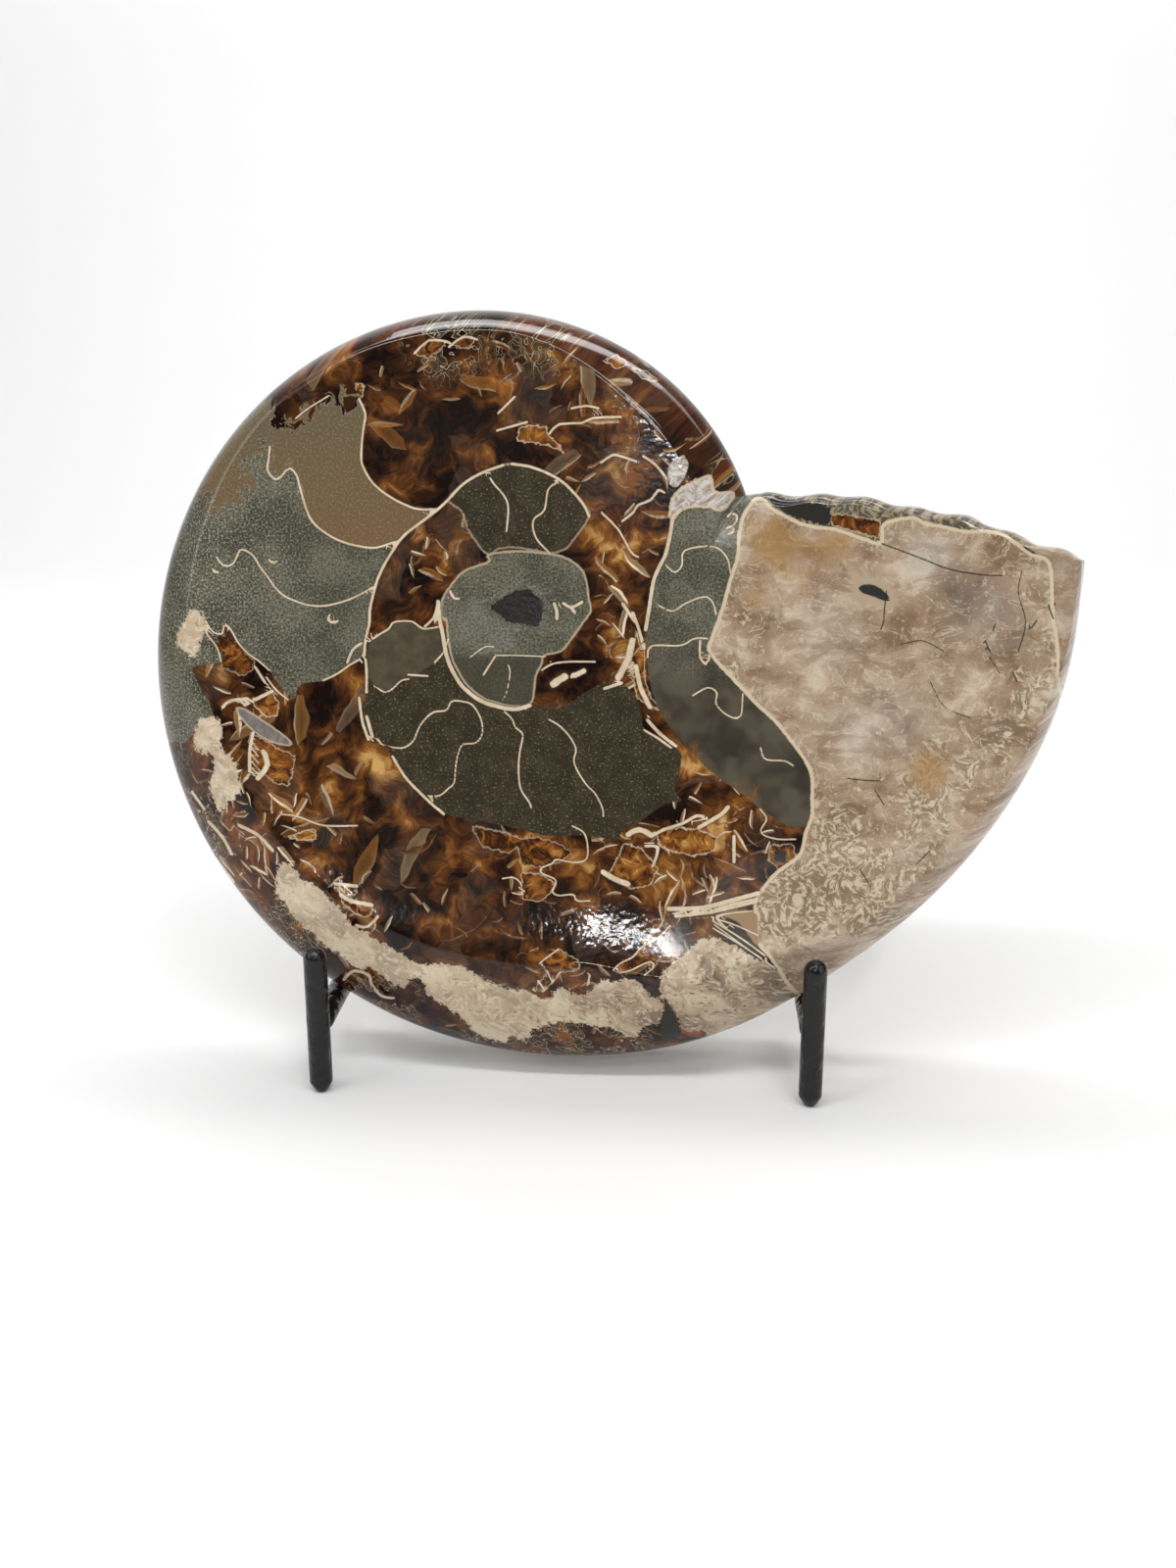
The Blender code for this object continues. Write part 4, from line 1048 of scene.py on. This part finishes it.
def makeStone():
    # The front grid reaches the rim. The back is a coarser grid that ends just inside the rim,
    # joined to it by a strip of triangles, two rim steps to one step of the back.
    share, spoke, quads, rimRing = ringGrid(fossil["frontRings"])
    place, height, out = stoneSection(spoke, share)
    front = toWorld(place, height)
    backShare, backSpoke, backQuads, backRing = ringGrid(fossil["backRings"])
    crease, faceRings = fossil["creaseRing"], fossil["backFaceRings"]
    ring = backShare * fossil["backRings"]
    down = (ring - faceRings) / (fossil["backRings"] - faceRings)
    stretched = np.where(ring <= faceRings, ring / faceRings * crease,
                         crease + down * (1 - crease) * fossil["backEnd"])
    backPlace, backHeight, backOut = stoneSection(backSpoke, stretched)
    back = toWorld(backPlace, -backHeight)
    shift = len(front)
    backRing = backRing + shift
    first, second, third = rimRing[0::2], rimRing[1::2], np.roll(rimRing[0::2], -1)
    nextBack = np.roll(backRing, -1)
    strip = np.concatenate([np.stack([first, backRing, second], 1),
                            np.stack([second, backRing, nextBack], 1),
                            np.stack([second, nextBack, third], 1)])
    faces = quads.tolist() + (backQuads[:, ::-1] + shift).tolist() + strip.tolist()
    stone = makeMesh("polished_fossil", np.concatenate([front, back]), faces, stoneMaterial())

    # The back has the front's pattern, bent by a slow wave that fades towards the rim.
    backSpots = sightOf(toWorld(backPlace, np.zeros(len(backPlace))))
    swing = np.stack([np.sin(backSpots[:, 1] * 0.06 + 1), np.cos(backSpots[:, 0] * 0.05)], axis=1)
    swing = fossil["backSwing"] * (1 - stretched[:, None] ** 6) * swing
    spots = np.concatenate([sightOf(front), backSpots + swing])
    fall = np.concatenate([height - coilRim(spoke)[2], -backHeight - coilRim(backSpoke)[2]]) * 1000
    fall = fall * np.concatenate([share > crease, np.ones(len(back))])
    moved = spots + fall[:, None] * np.array(fossil["grainFall"])
    for name, places in (("sight", spots), ("grain", moved)):
        store(stone.data, name, np.concatenate([places, np.zeros((len(places), 1))], axis=1))
    areas = {"body": body, "green": green, "tan": tan, "upper": upper, "disc": disc,
             "olive": olive, "paleChamber": paleChamber, "strip": innerStrip, "quartz": quartz,
             "quartzUpper": quartzUpper, "greyShard": greyShard, "pit": pit, "hole": hole,
             "holeCollar": holeCollar, "tanLeaf": tanLeaf, "mouthEdge": mouthEdge}
    for name, outline in areas.items():
        store(stone.data, name, areaDistance(spots, outline))
    groups = {"cream": (creamBand, creamRight, creamLump, creamBlotch), "slate": slate.values(),
              "amber": [outline for outline, bright in ambers.values()]}
    for name, outlines in groups.items():
        steps = 1 if name == "amber" else 4
        distances = np.stack([areaDistance(spots, outline, 6.0, steps) for outline in outlines])
        store(stone.data, name, distances.max(0))
        if name == "amber":
            brightness = np.array([bright for outline, bright in ambers.values()])
            store(stone.data, "amberBright", brightness[distances.argmax(0)])
    for name, lines, steps, thin in (("seams", seams, 4, 0.56), ("slivers", slivers, 2, 0.85),
                                     ("cracks", cracks, 4, 0.65)):
        store(stone.data, name, lineOffsets(spots, lines, steps, thin))
    for name, patches in blobs.items():
        store(stone.data, name, softPatches(spots, patches))
    store(stone.data, "onBevel", np.clip(np.concatenate([out, backOut]) * 6, 0, 1))
    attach(stone, "root")
    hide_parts("fossil_ammonite")


def planeY(height):
    # World Y of the stone's middle plane at a world height.
    return fossil["umbilicus"][1] + (height - fossil["umbilicus"][2]) * math.tan(fossil["lean"])


def barY(height):
    # World Y of the leaning bars: the middle plane plus a clearance that eases with height.
    low = (iron["armHeight"]["left"] + iron["armHeight"]["right"]) / 2
    share = (height - low) / (iron["topHigh"] - low)
    clearance = iron["clearanceLow"] + (iron["clearanceHigh"] - iron["clearanceLow"]) * share
    return planeY(height) + clearance / math.cos(fossil["lean"])


def bentRoute(corners, bends, steps=10):
    # Straight runs with an arc of the bend radius at each inner corner.
    corners = [Vector(corner) for corner in corners]
    route = [corners[0]]
    for before, corner, after, bend in zip(corners, corners[1:], corners[2:], bends):
        back = (before - corner).normalized()
        ahead = (after - corner).normalized()
        half = back.angle(ahead) / 2
        centre = corner + (back + ahead).normalized() * (bend / math.sin(half))
        start = corner + back * (bend / math.tan(half)) - centre
        end = corner + ahead * (bend / math.tan(half)) - centre
        turn = start.angle(end)
        for step in range(steps + 1):
            share = step / steps
            route.append(centre + start * (math.sin((1 - share) * turn) / math.sin(turn))
                         + end * (math.sin(share * turn) / math.sin(turn)))
    route.append(corners[-1])
    return np.array(route)


def makeBar(name, route, radii, node, material):
    # A round bar: at each point of the route a ring p = c + r (u cos a + v sin a), closed at both
    # ends by a point.
    ahead = np.gradient(route, axis=0)
    ahead = ahead / np.linalg.norm(ahead, axis=1)[:, None]
    across = np.cross(ahead, np.array([0.31, 0.17, 0.93]))
    across = across / np.linalg.norm(across, axis=1)[:, None]
    other = np.cross(ahead, across)
    angle = np.arange(iron["sides"]) / iron["sides"] * 2 * math.pi
    rings = (route[:, None, :] + np.asarray(radii)[:, None, None]
             * (across[:, None, :] * np.cos(angle)[:, None] + other[:, None, :] * np.sin(angle)[:, None]))
    count = len(route)
    vertices = np.concatenate([rings.reshape(-1, 3), route[:1], route[-1:]])
    row = np.arange(iron["sides"])
    after = (row + 1) % iron["sides"]
    faces = []
    for step in range(count - 1):
        low, high = step * iron["sides"], (step + 1) * iron["sides"]
        faces += np.stack([low + row, low + after, high + after, high + row], 1).tolist()
    first, last = count * iron["sides"], count * iron["sides"] + 1
    high = (count - 1) * iron["sides"]
    faces += np.stack([np.full(len(row), first), after, row], 1).tolist()
    faces += np.stack([np.full(len(row), last), high + row, high + after], 1).tolist()
    bar = makeMesh(name, vertices, faces, material)
    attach(bar, "root")
    if node:
        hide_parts(node)


def denseRoute(route, step=0.0015):
    # The same route with a point at least every step.
    lengths = np.linalg.norm(np.diff(route, axis=0), axis=1)
    along = np.concatenate([[0], np.cumsum(lengths)])
    places = np.unique(np.concatenate([along, np.linspace(0, along[-1], int(along[-1] / step) + 1)]))
    places = places[np.concatenate([[True], np.diff(places) > 1e-6])]
    return np.stack([np.interp(places, along, route[:, axis]) for axis in range(3)], axis=1)


def roundedEnds(route, radius, blunt):
    # Radii that fall in a quarter circle of the given length at both ends.
    lengths = np.linalg.norm(np.diff(route, axis=0), axis=1)
    along = np.concatenate([[0], np.cumsum(lengths)])
    gap = np.clip(np.minimum(along, along[-1] - along) / blunt, 0, 1)
    least = iron["endRadius"]
    return radius * (least + (1 - least) * np.sqrt(1 - (1 - gap) ** 2))


def makeStand(material):
    # Posts, bent bars and leg, with the radius of each along its route.
    radius = iron["barRadius"]
    for side, sign in (("left", -1), ("right", 1)):
        x, y = iron["postX"][side], iron["postY"]
        turn = np.radians(np.linspace(*iron["domeAngles"]))[1:]
        toe = np.array(iron["toe"])
        domeStart = iron["postHeight"] - radius
        straight = np.linspace(toe[-1, 0] + iron["toeGap"], domeStart, iron["straightRings"])
        heights = np.concatenate([toe[:, 0], straight, domeStart + radius * np.sin(turn)])
        radii = np.concatenate([toe[:, 1], np.full(len(straight), radius), radius * np.cos(turn)])
        route = np.stack([np.full(len(heights), x), np.full(len(heights), y), heights], axis=1)
        makeBar("post_" + side, route, radii, "front_post_" + side, material)
        arm = iron["armHeight"][side]
        topX = iron["topX"] + sign * (radius + iron["gap"] / 2)
        corners = [(x, y + radius + iron["gap"], arm), (x, barY(arm), arm),
                   (topX, barY(iron["topLow"]), iron["topLow"]),
                   (topX, barY(iron["topHigh"]), iron["topHigh"])]
        route = denseRoute(bentRoute(corners, (iron["leaningBend"], iron["topBend"])))
        radii = roundedEnds(route, radius, iron["barEnd"])
        makeBar("bar_" + side, route, radii, "side_bar_" + side, material)
    corners = [(iron["topX"], barY(iron["legTop"]) + iron["legBehindBars"], iron["legTop"]),
               (iron["topX"], iron["legFootY"] - radius, iron["legToe"]),
               (iron["topX"], iron["legFootY"] - radius, 0.0)]
    route = denseRoute(bentRoute(corners, (iron["legBend"],)))
    makeBar("leg", route, roundedEnds(route, radius, iron["legEnd"]), "rear_leg", material)


weld = {
    "rings": 40,
    "ripple": 0.10,                 # how much the humps stand out, as a share of the thickness
    "armHalf": 0.0022,              # half length of the beads above and below an arm
    "armThick": 0.0009,
    "barHeights": (0.1005, 0.1115),  # middles of the two beads between the leaning bars
    "barHalf": 0.003,
    "barThick": 0.0012,
    "legMiddle": 0.1035,            # height where the leg's beads touch the bars
    "legHeights": (0.1000, 0.1065),
    "legThick": 0.0010,
}


def makeWeld(name, start, end, thick, material):
    # A weld bead: a short ripple of small humps between two points.
    share = np.linspace(0, 1, weld["rings"])
    route = np.array(start) + share[:, None] * (np.array(end) - np.array(start))
    humps = 1 + weld["ripple"] * np.sin(share * 26)
    radii = thick * np.sqrt(np.clip(1 - (2 * share - 1) ** 4, 0.02, 1)) * humps
    makeBar(name, route, radii, None, material)


def makeWelds(material):
    # Beads above and below each arm, between the leaning bars and beside the leg.
    radius = iron["barRadius"]
    for side in ("left", "right"):
        x, y = iron["postX"][side], iron["postY"] + radius * 0.95 + 0.0002
        for sign, name in ((-1, "_low"), (1, "_high")):
            height = iron["armHeight"][side] + sign * radius * 0.93
            makeWeld("weld_" + side + name, (x - weld["armHalf"], y, height),
                     (x + weld["armHalf"], y, height), weld["armThick"], material)
    top = iron["topX"]
    for number, height in enumerate(weld["barHeights"]):
        behind = barY(height) + radius * 0.55
        makeWeld("weld_bars_%d" % (number + 1), (top, behind, height - weld["barHalf"]),
                 (top, behind, height + weld["barHalf"]), weld["barThick"], material)
    low, high = weld["legHeights"]
    behind = barY(weld["legMiddle"]) + radius * 1.05
    for sign, name in ((-1, "left"), (1, "right")):
        x = top + sign * radius * 0.95
        makeWeld("weld_leg_" + name, (x, behind, low), (x, behind + 0.0003, high),
                 weld["legThick"], material)


def makeStudio():
    # Floor that curves up into a wall behind: flat, a quarter circle, then upright.
    wall, bend, half = 0.9, 0.5, 2.6
    turn = np.radians(np.linspace(0, 90, 24))
    y = np.concatenate([[-2.5, -1.0, 0.0], wall + bend * np.sin(turn), [wall + bend]])
    z = np.concatenate([[0.0, 0.0, 0.0], bend * (1 - np.cos(turn)), [half]])
    x = np.linspace(-half, half, 9)
    points = np.stack([np.repeat(x, len(y)), np.tile(y, len(x)), np.tile(z, len(x))], axis=1)
    index = np.arange(len(points)).reshape(len(x), len(y))
    quads = np.stack([index[:-1, :-1], index[1:, :-1], index[1:, 1:], index[:-1, 1:]], -1)
    graph = Graph("pale floor")
    paint = graph.surface((0.82, 0.82, 0.82), 0.9, **{"Specular IOR Level": 0.1})
    floor = makeMesh("floor", points, quads.reshape(-1, 4).tolist(), paint)

    world = bpy.data.worlds.new("studio")
    world.use_nodes = True
    background = world.node_tree.nodes["Background"]
    background.inputs["Color"].default_value = (0.96, 0.98, 1.0, 1.0)
    background.inputs["Strength"].default_value = 0.10
    bpy.context.scene.world = world

    lamps = {                       # azimuth, elevation, distance, roll, width, height, power, target
        "key": (-0.5, 31.0, 3.0, 0, 0.20, 0.20, 6.4, (0, -0.046, 0.046)),
        "crease": (5, 29.5, 3.0, -50, 0.08, 0.26, 3.6, (0.012, -0.010, 0.165)),
        "upper_right": (21, 44, 3.0, -40, 0.14, 1.0, 13.0, (0.01, -0.01, 0.165)),
        "upper_left": (-20, 37, 3.0, 0, 0.10, 0.26, 1.2, (-0.06, -0.01, 0.17)),
        "overhead": (0, 66, 1.0, 0, 1.0, 0.12, 5.1, (0, 0, 0.1)),
        "fill_left": (-62, 34, 1.3, 0, 0.7, 0.7, 4.4, (0, 0, 0.1)),
        "fill_right": (66, 20, 1.4, 0, 0.7, 0.7, 3.0, (0, 0, 0.1)),
        "top_back": (170, 68, 0.9, 0, 0.9, 0.16, 2.6, (0, 0, 0.1)),
        "wall": (0, 40, 1.2, 0, 2.4, 0.6, 18.0, (0, 1.4, 0.6)),
    }
    for name, (azimuth, elevation, distance, roll, wide, high, power, target) in lamps.items():
        data = bpy.data.lights.new(name, "AREA")
        data.shape = "RECTANGLE"
        data.size, data.size_y, data.energy = wide, high, power
        lamp = bpy.data.objects.new(name, data)
        a, e = math.radians(azimuth), math.radians(elevation)
        away = Vector((math.sin(a) * math.cos(e), -math.cos(a) * math.cos(e), math.sin(e)))
        lamp.location = Vector(target) + away * distance
        aim = (-away).to_track_quat("-Z", "Y") @ Quaternion((0, 0, 1), math.radians(roll))
        lamp.rotation_euler = aim.to_euler()
        bpy.context.scene.collection.objects.link(lamp)

    camera = bpy.data.objects.new("camera", bpy.data.cameras.new("camera"))
    camera.data.lens = 35
    camera.data.sensor_width = 36
    camera.data.clip_start = 0.01
    camera.location = sight["eye"]
    camera.rotation_euler = (sight["tilt"], 0.0, sight["turn"])
    bpy.context.scene.collection.objects.link(camera)
    bpy.context.scene.camera = camera
    bpy.context.scene.view_settings.view_transform = "Standard"


makeStone()
print("stone made")
ironBlack = ironMaterial()
makeStand(ironBlack)
makeWelds(ironBlack)
print("stand made")
makeStudio()
print("studio made")
